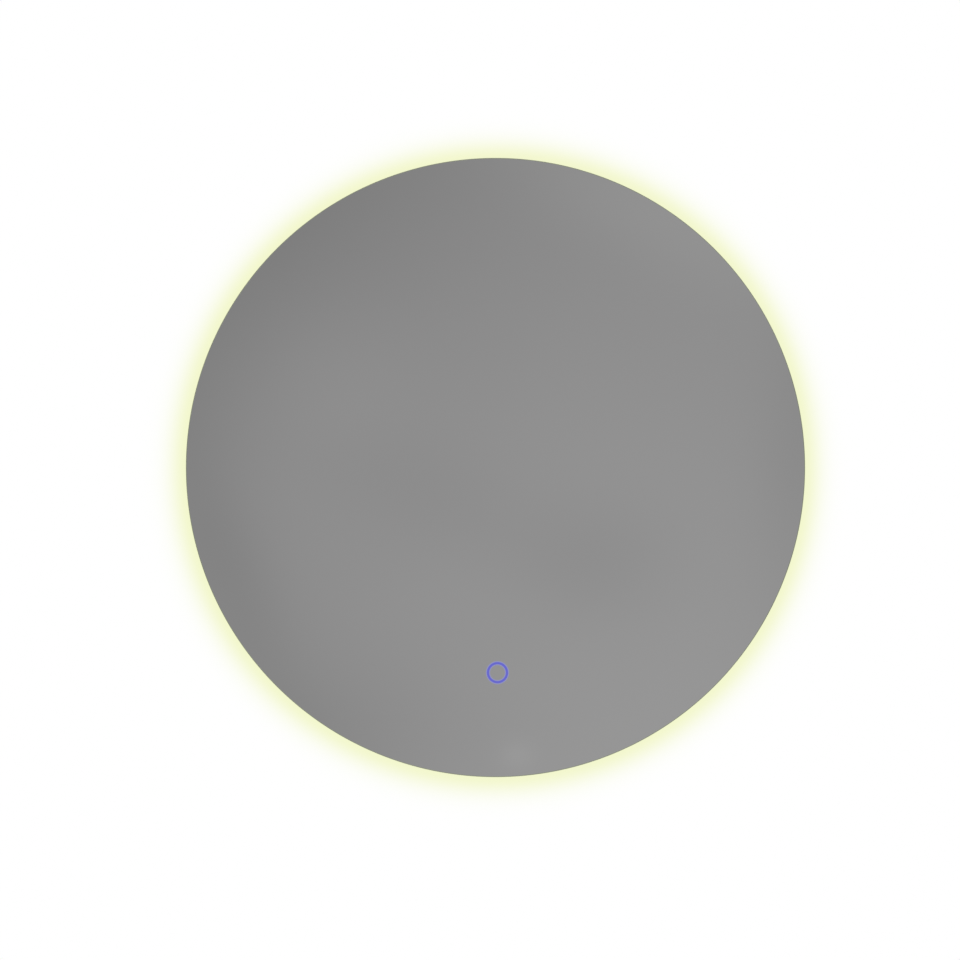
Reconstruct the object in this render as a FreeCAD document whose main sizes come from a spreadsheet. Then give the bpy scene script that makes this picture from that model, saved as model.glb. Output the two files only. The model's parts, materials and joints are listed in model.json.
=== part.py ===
import FreeCAD, Part
import math
import os
import types

import Sketcher

# Round lighted bathroom mirror: a frameless pane bonded to a rolled aluminium ring, which carries a
# light strip round its outside, a touch switch behind the pane and a driver behind a steel plate.
# A hooked bracket on the plate hangs on a rail that stays on the wall.
#
# The origin is midway between the two screw slots of the wall rail, on the wall. +X is to the right
# for someone facing the mirror, +Y goes into the wall and +Z is up. Sizes are in millimetres.
# "Depth" is the distance from the wall toward the viewer: a depth of 30 is y = -30.
# Pieces of the mirror are drawn about the axis of the pane, which lies below the rail.

DIMENSIONS = [
    # pane
    ("mirror_dia", 600.0, "diameter of the pane"),
    ("glass_thick", 5.0, "thickness of the pane"),
    ("edge_chamfer", 0.8, "arris ground on both edges of the pane"),
    ("ring_etch", 0.15, "depth of the etched ring on the front of the pane"),
    ("backing_thick", 0.2, "silver layer with its paint"),
    ("backing_inset", 1.0, "bare edge round the silver layer"),
    ("tape_thick", 0.8, "foam tape between ring frame and pane"),
    # touch switch
    ("ring_x", 2.0, "touch ring, right of the centre of the pane"),
    ("ring_rise", 101.3, "touch ring, above the lower edge of the pane"),
    ("ring_radius", 9.2, "middle of the lit ring"),
    ("ring_band", 2.4, "width of the lit ring"),
    ("sensor_dia", 38.0, "round housing of the touch switch"),
    ("sensor_depth", 8.0, "housing, rear to rim"),
    ("sensor_wall", 1.5, "housing wall"),
    ("sensor_board_dia", 30.0, "round circuit board"),
    ("sensor_board_thick", 1.2, "thickness of that board"),
    ("sensor_post", 0.8, "gap under that board"),
    ("sensor_led_count", 6.0, "lamps under the lit ring"),
    ("sensor_led", 1.6, "length and width of those lamps"),
    ("sensor_led_height", 0.8, "their height"),
    ("sensor_led_gap", 0.3, "from those lamps to the light guide"),
    ("electrode_dia", 13.0, "sensing disc on the back of the pane"),
    # ring frame
    ("frame_inset", 38.0, "outside of the ring's web, inward of the pane's edge"),
    ("frame_wall", 1.6, "wall of the rolled section"),
    ("frame_depth", 34.5, "depth of the ring"),
    ("flange_in", 16.0, "front flange, inward of the web's outside"),
    ("lip_out", 10.0, "lips of the light channel, outward of the web"),
    ("wall_flange", 8.0, "rear flange, outward of the web"),
    ("ledge_reach", 12.0, "inner ledge for the back plate"),
    ("ledge_thick", 2.0, "thickness of the ledge"),
    ("channel_width", 18.8, "inside width of the light channel"),
    ("seam_gap", 0.4, "open seam of the rolled ring"),
    ("joiner_length", 60.0, "arc length of the joining piece"),
    ("joiner_width", 9.0, "width of the joining piece"),
    ("joiner_thick", 3.0, "thickness of the joining piece"),
    ("joiner_pitch", 14.0, "spacing of its screws round the ring"),
    ("joiner_screw_count", 4.0, "screws in the joining piece"),
    ("joiner_screw_dia", 2.9, "screws in the joining piece"),
    ("bumper_count", 4.0, "rubber pads round the ring"),
    ("bumper_thick", 1.5, "rubber pads against the wall"),
    ("bumper_length", 30.0, "arc length of a pad"),
    ("bumper_inset", 1.0, "pad, inward of the edges of its flange"),
    ("tape_inset", 3.0, "foam tape, inward of the edges of the front flange"),
    ("bush_wall", 1.6, "wall of the rubber bush in the web"),
    ("bush_flange", 1.5, "flange of that bush, outward of its hole"),
    # light strip
    ("strip_thick", 0.3, "flexible board of the strip"),
    ("strip_width", 10.0, "width of that board"),
    ("strip_gap", 46.0, "bare arc at the bottom between the strip's ends"),
    ("led_count", 96.0, "lamps on the strip"),
    ("led_length", 2.8, "lamp, along the strip"),
    ("led_width", 3.5, "lamp, across the strip"),
    ("led_height", 0.8, "lamp, height"),
    ("resistor_count", 32.0, "resistors on the strip"),
    ("resistor_length", 1.6, "resistor, along the strip"),
    ("resistor_width", 0.8, "resistor, across the strip"),
    ("resistor_height", 0.5, "resistor, height"),
    ("connector_length", 32.0, "connector at the strip's right-hand end"),
    ("connector_height", 3.5, "height of that connector"),
    ("diffuser_bulge", 3.0, "opal cover, proud of the channel's lips"),
    ("diffuser_wall", 1.5, "wall of the opal cover"),
    ("diffuser_leg", 6.0, "legs of the opal cover inside the channel"),
    # back plate
    ("plate_recess", 22.5, "back plate, in front of the ring's rear"),
    ("plate_thick", 1.0, "sheet steel"),
    ("plate_clear", 0.8, "gap round the plate"),
    ("seal_thick", 1.0, "foam seal between plate and ledge"),
    ("plate_screw_count", 8.0, "screws round the plate"),
    ("bead_inset", 22.4, "middle of the round stiffening bead, inward of the plate screws"),
    ("bead_width", 12.0, "width of the beads"),
    ("bead_height", 2.0, "height of the beads"),
    ("bead_length", 200.0, "length of the two straight beads"),
    ("bead_drop", 95.0, "upper straight bead, below the centre"),
    ("bead_pitch", 40.0, "from the upper to the lower straight bead"),
    ("label_width", 90.0, "blank rating plate"),
    ("label_height", 50.0, "blank rating plate"),
    ("label_thick", 0.3, "blank rating plate"),
    ("label_corner", 4.0, "radius of its corners"),
    ("label_drop", 40.0, "its middle, below the centre of the pane"),
    # hanging
    ("hanger_margin", 5.5, "upper corners of the bracket to the round bead"),
    ("rail_thick", 2.0, "steel of the rail and the bracket"),
    ("rail_skirt", 15.0, "rail, below its screw slots"),
    ("rail_seat", 15.0, "underside of the rail's shelf, above its slots"),
    ("rail_hook", 12.0, "height of the rail's lip above its shelf"),
    ("rail_reach", 8.0, "depth of the rail's shelf"),
    ("slot_spacing", 200.0, "between the two screw slots"),
    ("slot_length", 12.0, "end to end"),
    ("slot_width", 5.5, "width of a slot"),
    ("hook_clear", 0.4, "play between rail lip and bracket lip"),
    ("lift_clear", 2.0, "rail lip to the bracket's shelf"),
    ("side_clear", 1.0, "bracket to the rail's end tabs"),
    ("hanger_width", 240.0, "width of the bracket"),
    ("hanger_web", 22.0, "height of the bracket's riveted web"),
    ("bend_radius", 1.0, "inside of the bracket's bends"),
    ("rivet_pitch", 70.0, "between an outer and an inner rivet"),
    ("rivet_spacing", 60.0, "between the two inner rivets"),
    ("rivet_dia", 4.0, "blind rivets"),
    ("rivet_head_dia", 7.6, "their domed heads"),
    ("rivet_tail_dia", 6.4, "their closed tails"),
    ("rivet_head", 0.8, "height of head and tail"),
    # driver
    ("driver_x", -62.0, "driver, from the axis of the pane"),
    ("driver_z", 30.0, "driver, above the centre of the pane"),
    ("driver_length", 150.0, "driver case"),
    ("driver_height", 44.0, "driver case"),
    ("driver_base_depth", 14.0, "lower half of the case"),
    ("driver_cover_depth", 7.0, "upper half of the case"),
    ("driver_wall", 1.5, "wall of the case"),
    ("driver_ear", 12.0, "length of a fixing ear"),
    ("driver_ear_thick", 2.5, "thickness of a fixing ear"),
    ("driver_ear_inset", 3.0, "fixing ear, inward of the long sides"),
    ("groove_count", 9.0, "shallow grooves across the case"),
    ("groove_width", 2.0, "width of a groove"),
    ("groove_pitch", 10.7, "between grooves"),
    ("driver_board_thick", 1.6, "circuit board"),
    ("driver_post", 2.0, "gap under that board"),
    ("transformer_height", 12.0, "transformer, above the board"),
    ("capacitor_height", 11.0, "large capacitors, above the board"),
    ("boss_dia", 6.0, "screw bosses in the corners"),
    ("cover_head_sink", 0.8, "cover screws' seats, past the inside of the cover"),
    ("bushing_wall", 1.2, "wall and flange of the bushings round the leads"),
    # mains terminals
    ("box_x", 92.0, "terminal box, from the axis of the pane"),
    ("box_z", 30.0, "terminal box, above the centre of the pane"),
    ("box_width", 84.0, "terminal box"),
    ("box_height", 56.0, "terminal box"),
    ("box_base_depth", 17.0, "fixed part of the box"),
    ("lid_depth", 5.0, "hinged lid"),
    ("box_wall", 2.0, "wall of box and lid"),
    ("box_screw_inset", 8.0, "fixing screws, from the sides of the box"),
    ("box_earth_inset", 18.0, "way out of the earth lead, from the box's left side"),
    ("pin_dia", 2.0, "hinge pin"),
    ("pin_clear", 0.06, "hinge bore over pin, on the diameter"),
    ("knuckle_dia", 5.0, "hinge knuckles"),
    ("knuckle_rise", 3.0, "hinge axis, above the box"),
    ("knuckle_length", 18.0, "each outer knuckle"),
    ("knuckle_gap", 0.4, "between neighbouring knuckles"),
    ("lid_knuckle", 23.2, "middle knuckle"),
    ("tongue_width", 16.0, "snap tongue of the lid"),
    ("tongue_gap", 0.4, "snap tongue to the box"),
    ("tongue_reach", 7.0, "snap tongue, past the parting plane"),
    ("gland_x", 18.0, "cord gland, from the middle of the box"),
    ("gland_thread", 12.0, "thread of the cord gland"),
    ("gland_bore", 7.2, "clear bore of the cord gland"),
    ("gland_flats", 15.0, "across flats of the gland"),
    ("block_width", 30.0, "terminal block"),
    ("block_height", 18.0, "terminal block"),
    ("block_depth", 12.0, "terminal block"),
    ("block_pitch", 9.0, "between terminals"),
    ("block_rib", 1.5, "height of the ribs between terminals"),
    ("block_rib_width", 1.0, "width of those ribs"),
    ("block_screw_sink", 1.0, "clamp screws, below the top of the block"),
    # leads and small parts
    ("supply_lead_dia", 3.2, "lead from the terminal box to the driver"),
    ("lead_dia", 2.4, "low-voltage leads and the earth lead"),
    ("lead_clear", 0.3, "lead to its hole, each side"),
    ("grommet_bore", 5.0, "rubber grommets in the plate"),
    ("grommet_wall", 1.7, "wall of a grommet in its hole"),
    ("grommet_flange", 1.4, "flange of a grommet, outward of its hole"),
    ("grommet_x", 42.0, "grommets, either side of the touch ring"),
    ("screw_dia", 3.2, "sheet-metal screws"),
    ("screw_head_dia", 6.6, "their pan heads"),
    ("screw_head", 2.0, "height of those heads"),
    ("screw_tip", 4.0, "screw tips past the plate"),
    ("screw_play", 0.2, "hole over screw, on the diameter"),
    ("earth_x", 62.0, "earth screw, from the axis of the pane"),
    ("earth_drop", 42.0, "earth screw, below the centre of the pane"),
    ("clip_length", 8.0, "cable clip, along the lead"),
    ("clip_width", 7.0, "cable clip, across the lead"),
    ("clip_roof", 1.5, "cable clip, over the lead"),
]

BEND_SHARE = 0.45  # of the shorter run beside a corner, taken by a lead's arc
LEAD_TAIL = 6.0  # of a lead, inside the case that it goes into
SENSOR_LEAD_TAIL = 3.0  # of a lead, inside the touch switch


class Size:
    """A size from the sheet: the expression to bind and what it comes to now."""

    def __init__(self, text, value):
        self.text = text
        self.value = value

    def joined(self, sign, other, value):
        return Size("(%s %s %s)" % (self.text, sign, as_text(other)), value)

    def __add__(self, other):
        return self.joined("+", other, self.value + as_number(other))

    def __radd__(self, other):
        return self + other

    def __sub__(self, other):
        return self.joined("-", other, self.value - as_number(other))

    def __rsub__(self, other):
        return -self + other

    def __mul__(self, other):
        return self.joined("*", other, self.value * as_number(other))

    def __rmul__(self, other):
        return self * other

    def __truediv__(self, other):
        return self.joined("/", other, self.value / as_number(other))

    def __rtruediv__(self, other):
        return Size("(%s / %s)" % (as_text(other), self.text), as_number(other) / self.value)

    def __neg__(self):
        return self * -1


def as_number(size):
    return size.value if isinstance(size, Size) else float(size)


def as_text(size):
    return size.text if isinstance(size, Size) else "(%s)" % float(size)


def arc_degrees(length, radius):
    """The angle that an arc of this length takes up."""
    return Size("(%s / %s * 180 / pi)" % (as_text(length), as_text(radius)),
                math.degrees(as_number(length) / as_number(radius)))


def cosine(degrees):
    return Size("cos(%s)" % degrees.text, math.cos(math.radians(degrees.value)))


def sine(degrees):
    return Size("sin(%s)" % degrees.text, math.sin(math.radians(degrees.value)))


def beside(longest, side):
    """The other short side of a right-angled triangle."""
    square = longest * longest - side * side
    return Size("sqrt(%s)" % square.text, math.sqrt(square.value))


def read_sheet(sheet):
    """Fill the sheet and give each of its cells as a Size."""
    cells = {}
    for row, (alias, value, meaning) in enumerate(DIMENSIONS, 1):
        sheet.set("A%d" % row, meaning)
        sheet.set("B%d" % row, str(value))
        sheet.setAlias("B%d" % row, alias)
        cells[alias] = Size("Dims." + alias, value)
    return types.SimpleNamespace(**cells)


doc = FreeCAD.newDocument("LightedMirror")
dims = read_sheet(doc.addObject("Spreadsheet::Sheet", "Dims"))
parts = []
cuts = []

# Places that several pieces share.
RING_DROP = dims.mirror_dia / 2 - dims.ring_rise
FRAME_REAR = dims.bumper_thick
FRAME_FRONT = FRAME_REAR + dims.frame_depth
TAPE_FRONT = FRAME_FRONT + dims.tape_thick
GLASS_BACK = TAPE_FRONT + dims.backing_thick
GLASS_FRONT = GLASS_BACK + dims.glass_thick
PLATE_REAR = FRAME_REAR + dims.plate_recess
PLATE_FRONT = PLATE_REAR + dims.plate_thick
LEDGE_REAR = PLATE_FRONT + dims.seal_thick
LEDGE_FRONT = LEDGE_REAR + dims.ledge_thick
CHANNEL_FRONT = FRAME_FRONT - dims.frame_wall
CHANNEL_REAR = CHANNEL_FRONT - dims.channel_width
CHANNEL_MIDDLE = CHANNEL_FRONT - dims.channel_width / 2
WEB_OUTSIDE = dims.mirror_dia / 2 - dims.frame_inset
WEB_INSIDE = WEB_OUTSIDE - dims.frame_wall
LIP_RADIUS = WEB_OUTSIDE + dims.lip_out
STRIP_FACE = WEB_OUTSIDE + dims.strip_thick
PLATE_RADIUS = WEB_INSIDE - dims.plate_clear
LEDGE_RADIUS = WEB_INSIDE - dims.ledge_reach
PLATE_SCREW_RADIUS = LEDGE_RADIUS + dims.ledge_reach / 2
PLATE_SCREW = (PLATE_SCREW_RADIUS * cosine(180 / dims.plate_screw_count),
               PLATE_SCREW_RADIUS * sine(180 / dims.plate_screw_count))
BEAD_RADIUS = PLATE_SCREW_RADIUS - dims.bead_inset
RING_OUTER = dims.ring_radius + dims.ring_band / 2
RING_INNER = dims.ring_radius - dims.ring_band / 2
SENSOR_REAR = FRAME_FRONT - dims.sensor_depth
SENSOR_BOARD_REAR = SENSOR_REAR + dims.sensor_wall + dims.sensor_post
SENSOR_BOARD_FRONT = SENSOR_BOARD_REAR + dims.sensor_board_thick
SENSOR_LEAD_DEPTH = SENSOR_REAR + dims.sensor_depth / 2
RAIL_WIDTH = dims.hanger_width + 2 * dims.side_clear + 2 * dims.rail_thick
RAIL_SHELF = dims.rail_seat + dims.rail_thick
RAIL_LIP_TOP = RAIL_SHELF + dims.rail_hook
HANGER_SHELF = RAIL_LIP_TOP + dims.lift_clear
HANGER_LIP_FRONT = dims.rail_reach - dims.rail_thick - dims.hook_clear
HANGER_TOP = HANGER_SHELF + dims.rail_thick + dims.hanger_web
HANGER_REACH = BEAD_RADIUS - dims.bead_width / 2 - dims.hanger_margin
RAIL_RISE = beside(HANGER_REACH, dims.hanger_width / 2) - HANGER_TOP
AXIS_Z = -RAIL_RISE
RIVET_Z = HANGER_TOP - dims.hanger_web / 2
RIVET_X = (dims.rivet_spacing / 2, dims.rivet_spacing / 2 + dims.rivet_pitch)
DRIVER_PARTING = PLATE_REAR - dims.driver_base_depth
DRIVER_REAR = DRIVER_PARTING - dims.driver_cover_depth
DRIVER_LEAD_DEPTH = PLATE_REAR - dims.driver_base_depth / 2
DRIVER_FLOOR = PLATE_REAR - dims.driver_wall
DRIVER_BOARD_FRONT = DRIVER_FLOOR - dims.driver_post
DRIVER_BOARD_REAR = DRIVER_BOARD_FRONT - dims.driver_board_thick
DRIVER_BOSS_X = dims.driver_length / 2 - dims.driver_wall - dims.boss_dia * 0.4
DRIVER_BOSS_Z = dims.driver_height / 2 - dims.driver_wall - dims.boss_dia * 0.4
EAR_HOLE_X = dims.driver_length / 2 + dims.driver_ear / 2
EAR_HOLE_Z = dims.driver_height / 3
BOX_PARTING = PLATE_REAR - dims.box_base_depth
BOX_REAR = BOX_PARTING - dims.lid_depth
BOX_FLOOR = PLATE_REAR - dims.box_wall
BOX_LEAD_DEPTH = PLATE_REAR - dims.box_base_depth / 2
BOX_LEAD_Z = dims.box_height / 4
BOX_EARTH_X = dims.box_earth_inset - dims.box_width / 2
BOX_SCREW_X = dims.box_width / 2 - dims.box_screw_inset
BOX_SCREW_Z = dims.box_height / 2 - dims.box_screw_inset
BLOCK_Z = dims.box_height / 8
HINGE_Z = dims.box_height / 2 + dims.knuckle_rise
GLAND_DEPTH = (BOX_REAR + PLATE_REAR) / 2
SCREW_TIP = PLATE_FRONT + dims.screw_tip
SHANK = dims.screw_dia / 2
SCREW_HOLE = (dims.screw_dia + dims.screw_play) / 2
HEAD = dims.screw_head_dia / 2
LEAD_HOLE = dims.lead_dia / 2 + dims.lead_clear
SUPPLY_HOLE = dims.supply_lead_dia / 2 + dims.lead_clear
BUSHING_HOLE = SUPPLY_HOLE + dims.bushing_wall
BUSHING_FLANGE = BUSHING_HOLE + dims.bushing_wall
WINDOW_PLAY = 0.1
LEAD_END_PLAY = 0.02
BUSH_PLAY = 0.5
BUSH_HOLE = LEAD_HOLE + dims.bush_wall
BUSH_DEPTH = CHANNEL_REAR + BUSH_HOLE + BUSH_PLAY
STRIP_ANGLE = 360 - arc_degrees(dims.strip_gap, WEB_OUTSIDE)
JOINER_DEPTH = (FRAME_REAR + CHANNEL_REAR) / 2
JOINER_START = arc_degrees(dims.joiner_pitch * (dims.joiner_screw_count - 1) / 2, WEB_INSIDE)
JOINER_PLACES = [dims.joiner_pitch * (step - (dims.joiner_screw_count - 1) / 2)
                 for step in range(round(dims.joiner_screw_count.value))]
GROMMET_HOLE = dims.grommet_bore / 2 + dims.grommet_wall
GROMMET_X = (dims.ring_x - dims.grommet_x, dims.ring_x + dims.grommet_x)
DRIVER_BOARD_X = DRIVER_BOSS_X - dims.boss_dia
COVER_SCREW = dims.boss_dia / 5
COVER_HEAD = dims.driver_wall + dims.cover_head_sink
BLOCK_SCREW = dims.block_pitch / 5
TONGUE_WINDOW = BOX_PARTING + dims.tongue_reach * 0.6
BEAD_WIDTH = dims.tongue_reach / 4
GLAND_Z = dims.box_z - dims.box_height / 2
GLAND_NUT_HEIGHT = dims.gland_thread / 3.5
GLAND_TAIL = dims.gland_thread / 2
GLAND_SEAL = dims.gland_thread / 4
TERMINAL_THICK = dims.lead_dia / 3
BARREL_RADIUS = dims.lead_dia * 0.7
BARREL_DEPTH = PLATE_REAR - BARREL_RADIUS - 0.2
BARREL_LENGTH = dims.lead_dia * 2.5
BARREL_TOP = -dims.earth_drop + HEAD * 1.6 + BARREL_LENGTH


# ---- drawing tools -------------------------------------------------------------------------------

def bind(target, path, size):
    """Tie a property to the sheet, or set it where it is a plain number."""
    if isinstance(size, Size):
        target.setExpression(path, size.text)
    elif not path.startswith((".", "Constraints")):
        setattr(target, path, size)


def new_body(label, x=0, z=AXIS_Z, turn=None):
    """A piece drawn about (x, 0, z), turned about the Y axis where asked."""
    item = doc.addObject("PartDesign::Body", label)
    item.Label = label
    angle = 0.0 if turn is None else as_number(turn)
    item.Placement = FreeCAD.Placement(
        FreeCAD.Vector(as_number(x), 0, as_number(z)),
        FreeCAD.Rotation(FreeCAD.Vector(0, 1, 0), angle))
    bind(item, ".Placement.Base.x", x)
    bind(item, ".Placement.Base.z", z)
    bind(item, ".Placement.Rotation.Angle", turn)
    parts.append(item)
    return item


def origin_feature(item, role):
    return next(feature for feature in item.Origin.OriginFeatures if feature.Role == role)


def sketch_on(item, role, offset):
    drawing = item.newObject("Sketcher::SketchObject", item.Label + "_sketch")
    drawing.AttachmentSupport = [(origin_feature(item, role), "")]
    drawing.MapMode = "FlatFace"
    drawing.AttachmentOffset.Base.z = as_number(offset)
    bind(drawing, ".AttachmentOffset.Base.z", offset)
    return drawing


def hold(drawing, kind, size, *where):
    """Add one dimension to a drawing, tied to the sheet."""
    index = drawing.addConstraint(Sketcher.Constraint(kind, *where, as_number(size)))
    bind(drawing, "Constraints[%d]" % index, size)


def hold_point(drawing, geometry, vertex, x, y):
    hold(drawing, "DistanceX", x, -1, 1, geometry, vertex)
    hold(drawing, "DistanceY", y, -1, 1, geometry, vertex)


def vector(x, y):
    return FreeCAD.Vector(as_number(x), as_number(y), 0)


def outline(drawing, points):
    """A closed run of straight lines through the points."""
    first = drawing.GeometryCount
    for start, end in zip(points, points[1:] + points[:1]):
        drawing.addGeometry(Part.LineSegment(vector(*start), vector(*end)), False)
    for index, point in enumerate(points):
        follower = first + (index + 1) % len(points)
        drawing.addConstraint(Sketcher.Constraint("Coincident", first + index, 2, follower, 1))
        hold_point(drawing, first + index, 1, *point)


def rectangle(drawing, x, y, width, height):
    left, right = x - width / 2, x + width / 2
    low, high = y - height / 2, y + height / 2
    outline(drawing, [(left, low), (right, low), (right, high), (left, high)])


def circle(drawing, x, y, radius):
    shape = Part.Circle(vector(x, y), FreeCAD.Vector(0, 0, 1), as_number(radius))
    index = drawing.addGeometry(shape, False)
    hold_point(drawing, index, 3, x, y)
    hold(drawing, "Radius", radius, index)


def hexagon(drawing, x, y, flats):
    """Two of the flats lie square to the drawing's y direction."""
    radius = flats / math.sqrt(3)
    turns = [math.radians(60 * corner) for corner in range(6)]
    outline(drawing, [(x + radius * math.cos(turn), y + radius * math.sin(turn)) for turn in turns])


def cross(drawing, x, y, length, width):
    """The cross recess of a screw head."""
    far, near = length / 2, width / 2
    outline(drawing, [(x + a, y + b) for a, b in (
        (far, -near), (far, near), (near, near), (near, far), (-near, far), (-near, near),
        (-far, near), (-far, -near), (-near, -near), (-near, -far), (near, -far), (near, -near))])


def slot(drawing, x, y, length, width):
    """A round-ended slot along the drawing's x direction."""
    radius = width / 2
    left, right = x - length / 2 + radius, x + length / 2 - radius
    up = FreeCAD.Vector(0, 0, 1)
    quarter = math.pi / 2
    ends = [
        drawing.addGeometry(Part.ArcOfCircle(
            Part.Circle(vector(left, y), up, as_number(radius)), quarter, 3 * quarter), False),
        drawing.addGeometry(Part.ArcOfCircle(
            Part.Circle(vector(right, y), up, as_number(radius)), -quarter, quarter), False)]
    sides = [
        drawing.addGeometry(Part.LineSegment(vector(left, y - radius), vector(right, y - radius)), False),
        drawing.addGeometry(Part.LineSegment(vector(left, y + radius), vector(right, y + radius)), False)]
    for joint in ((ends[0], 2, sides[0], 1), (sides[0], 2, ends[1], 1),
                  (ends[1], 2, sides[1], 2), (sides[1], 1, ends[0], 1)):
        drawing.addConstraint(Sketcher.Constraint("Tangent", *joint))
    drawing.addConstraint(Sketcher.Constraint("Equal", *ends))
    hold_point(drawing, ends[0], 3, left, y)
    hold_point(drawing, ends[1], 3, right, y)
    hold(drawing, "Radius", radius, ends[0])


def extruded(item, kind, drawing, length):
    """A pad or a pocket from the drawing, along the drawing's normal."""
    feature = item.newObject("PartDesign::" + kind, "%s_%s" % (item.Label, kind.lower()))
    feature.Profile = drawing
    bind(feature, "Length", length)
    if kind == "Pocket":
        feature.Reversed = True
        cuts.append(feature)
    item.Tip = feature
    return feature


def drawn(item, role, offset, length, kind, shapes):
    drawing = sketch_on(item, role, offset)
    for draw, *sizes in shapes:
        draw(drawing, *sizes)
    return extruded(item, kind, drawing, length)


def slab(item, depth, thickness, *shapes, kind="Pad"):
    """Shapes seen from the front, filled from one depth toward the viewer."""
    return drawn(item, "XZ_Plane", depth, thickness, kind, shapes)


def recess(item, depth, thickness, *shapes):
    """Shapes seen from the front, cut out from one depth toward the viewer."""
    return slab(item, depth, thickness, *shapes, kind="Pocket")


def column(item, bottom, height, *shapes, kind="Pad"):
    """Shapes seen from above, filled upward; their second measure is minus the depth."""
    return drawn(item, "XY_Plane", bottom, height, kind, shapes)


def shaft(item, bottom, height, *shapes):
    """Shapes seen from above, cut out upward."""
    return column(item, bottom, height, *shapes, kind="Pocket")


def bar(item, left, width, *shapes, kind="Pad"):
    """Shapes seen from the right, filled toward +X; their first measure is minus the depth."""
    return drawn(item, "YZ_Plane", left, width, kind, shapes)


def bore(item, left, width, *shapes):
    """Shapes seen from the right, cut out toward +X."""
    return bar(item, left, width, *shapes, kind="Pocket")


def profile(points):
    """An outline whose points are given as (depth, height) for a bar."""
    return outline, [(-depth, height) for depth, height in points]


def spun(item, points, angle=360.0, before=None):
    """A section of (radius, depth) points turned about the Y axis.

    It runs evenly either side of +X, or where "before" is given, that far before +X and angle past it.
    """
    drawing = sketch_on(item, "XY_Plane", 0)
    outline(drawing, [(radius, -depth) for radius, depth in points])
    feature = item.newObject("PartDesign::Revolution", item.Label + "_revolution")
    feature.Profile = drawing
    feature.ReferenceAxis = (drawing, ["V_Axis"])
    feature.Angle = as_number(angle)
    bind(feature, "Angle", angle)
    if before is None:
        feature.Midplane = True
    else:
        feature.Type = "TwoAngles"
        feature.Angle2 = as_number(before)
        bind(feature, "Angle2", before)
    item.Tip = feature
    return feature


def ring_section(inner, outer, rear, front):
    return [(inner, rear), (outer, rear), (outer, front), (inner, front)]


def around(item, features, count, angle=360.0):
    """Copies of the features round the Y axis."""
    pattern = item.newObject("PartDesign::PolarPattern", item.Label + "_pattern")
    pattern.Originals = features
    pattern.Axis = (origin_feature(item, "Y_Axis"), [""])
    pattern.Angle = as_number(angle)
    bind(pattern, "Angle", angle)
    bind(pattern, "Occurrences", count)
    item.Tip = pattern
    return pattern


def dressed(item, kind, size, chosen):
    """A fillet or chamfer on the edges that the test picks."""
    doc.recompute()
    base = item.Tip
    names = ["Edge%d" % number for number, edge in enumerate(base.Shape.Edges, 1) if chosen(edge)]
    feature = item.newObject("PartDesign::" + kind, "%s_%s" % (item.Label, kind.lower()))
    feature.Base = (base, names)
    bind(feature, "Radius" if kind == "Fillet" else "Size", size)
    item.Tip = feature
    return feature


def runs_in_depth(edge):
    """Edges square to the wall."""
    ends = [vertex.Point for vertex in edge.Vertexes]
    return len(ends) == 2 and math.hypot(ends[0].x - ends[1].x, ends[0].z - ends[1].z) < 0.01


def screws(item, places, seat, tip, shank=SHANK, head=HEAD, rise=dims.screw_head):
    """Pan-head screws driven from the rear: heads behind the seat, shanks up to the tip."""
    slab(item, seat, tip - seat, *[(circle, x, z, shank) for x, z in places])
    slab(item, seat - rise, rise, *[(circle, x, z, head) for x, z in places])
    recess(item, seat - rise, rise / 2, *[(cross, x, z, head, head / 4) for x, z in places])


def corners(x, z):
    return [(side * x, level * z) for side in (-1, 1) for level in (-1, 1)]


# ---- hanging -------------------------------------------------------------------------------------

def wall_rail():
    item = new_body("wall_rail", z=0)
    lip_inside = dims.rail_reach - dims.rail_thick
    bar(item, -RAIL_WIDTH / 2, RAIL_WIDTH, profile([
        (0, -dims.rail_skirt), (0, RAIL_SHELF), (lip_inside, RAIL_SHELF), (lip_inside, RAIL_LIP_TOP),
        (dims.rail_reach, RAIL_LIP_TOP), (dims.rail_reach, dims.rail_seat),
        (dims.rail_thick, dims.rail_seat), (dims.rail_thick, -dims.rail_skirt)]))
    tab_centre = (RAIL_LIP_TOP + dims.rail_seat) / 2
    for left in (-RAIL_WIDTH / 2, RAIL_WIDTH / 2 - dims.rail_thick):
        bar(item, left, dims.rail_thick, (
            rectangle, -dims.rail_reach / 2, tab_centre, dims.rail_reach, RAIL_LIP_TOP - dims.rail_seat))
    recess(item, 0, dims.rail_thick, *[
        (slot, side * dims.slot_spacing / 2, 0, dims.slot_length, dims.slot_width) for side in (-1, 1)])


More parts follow.
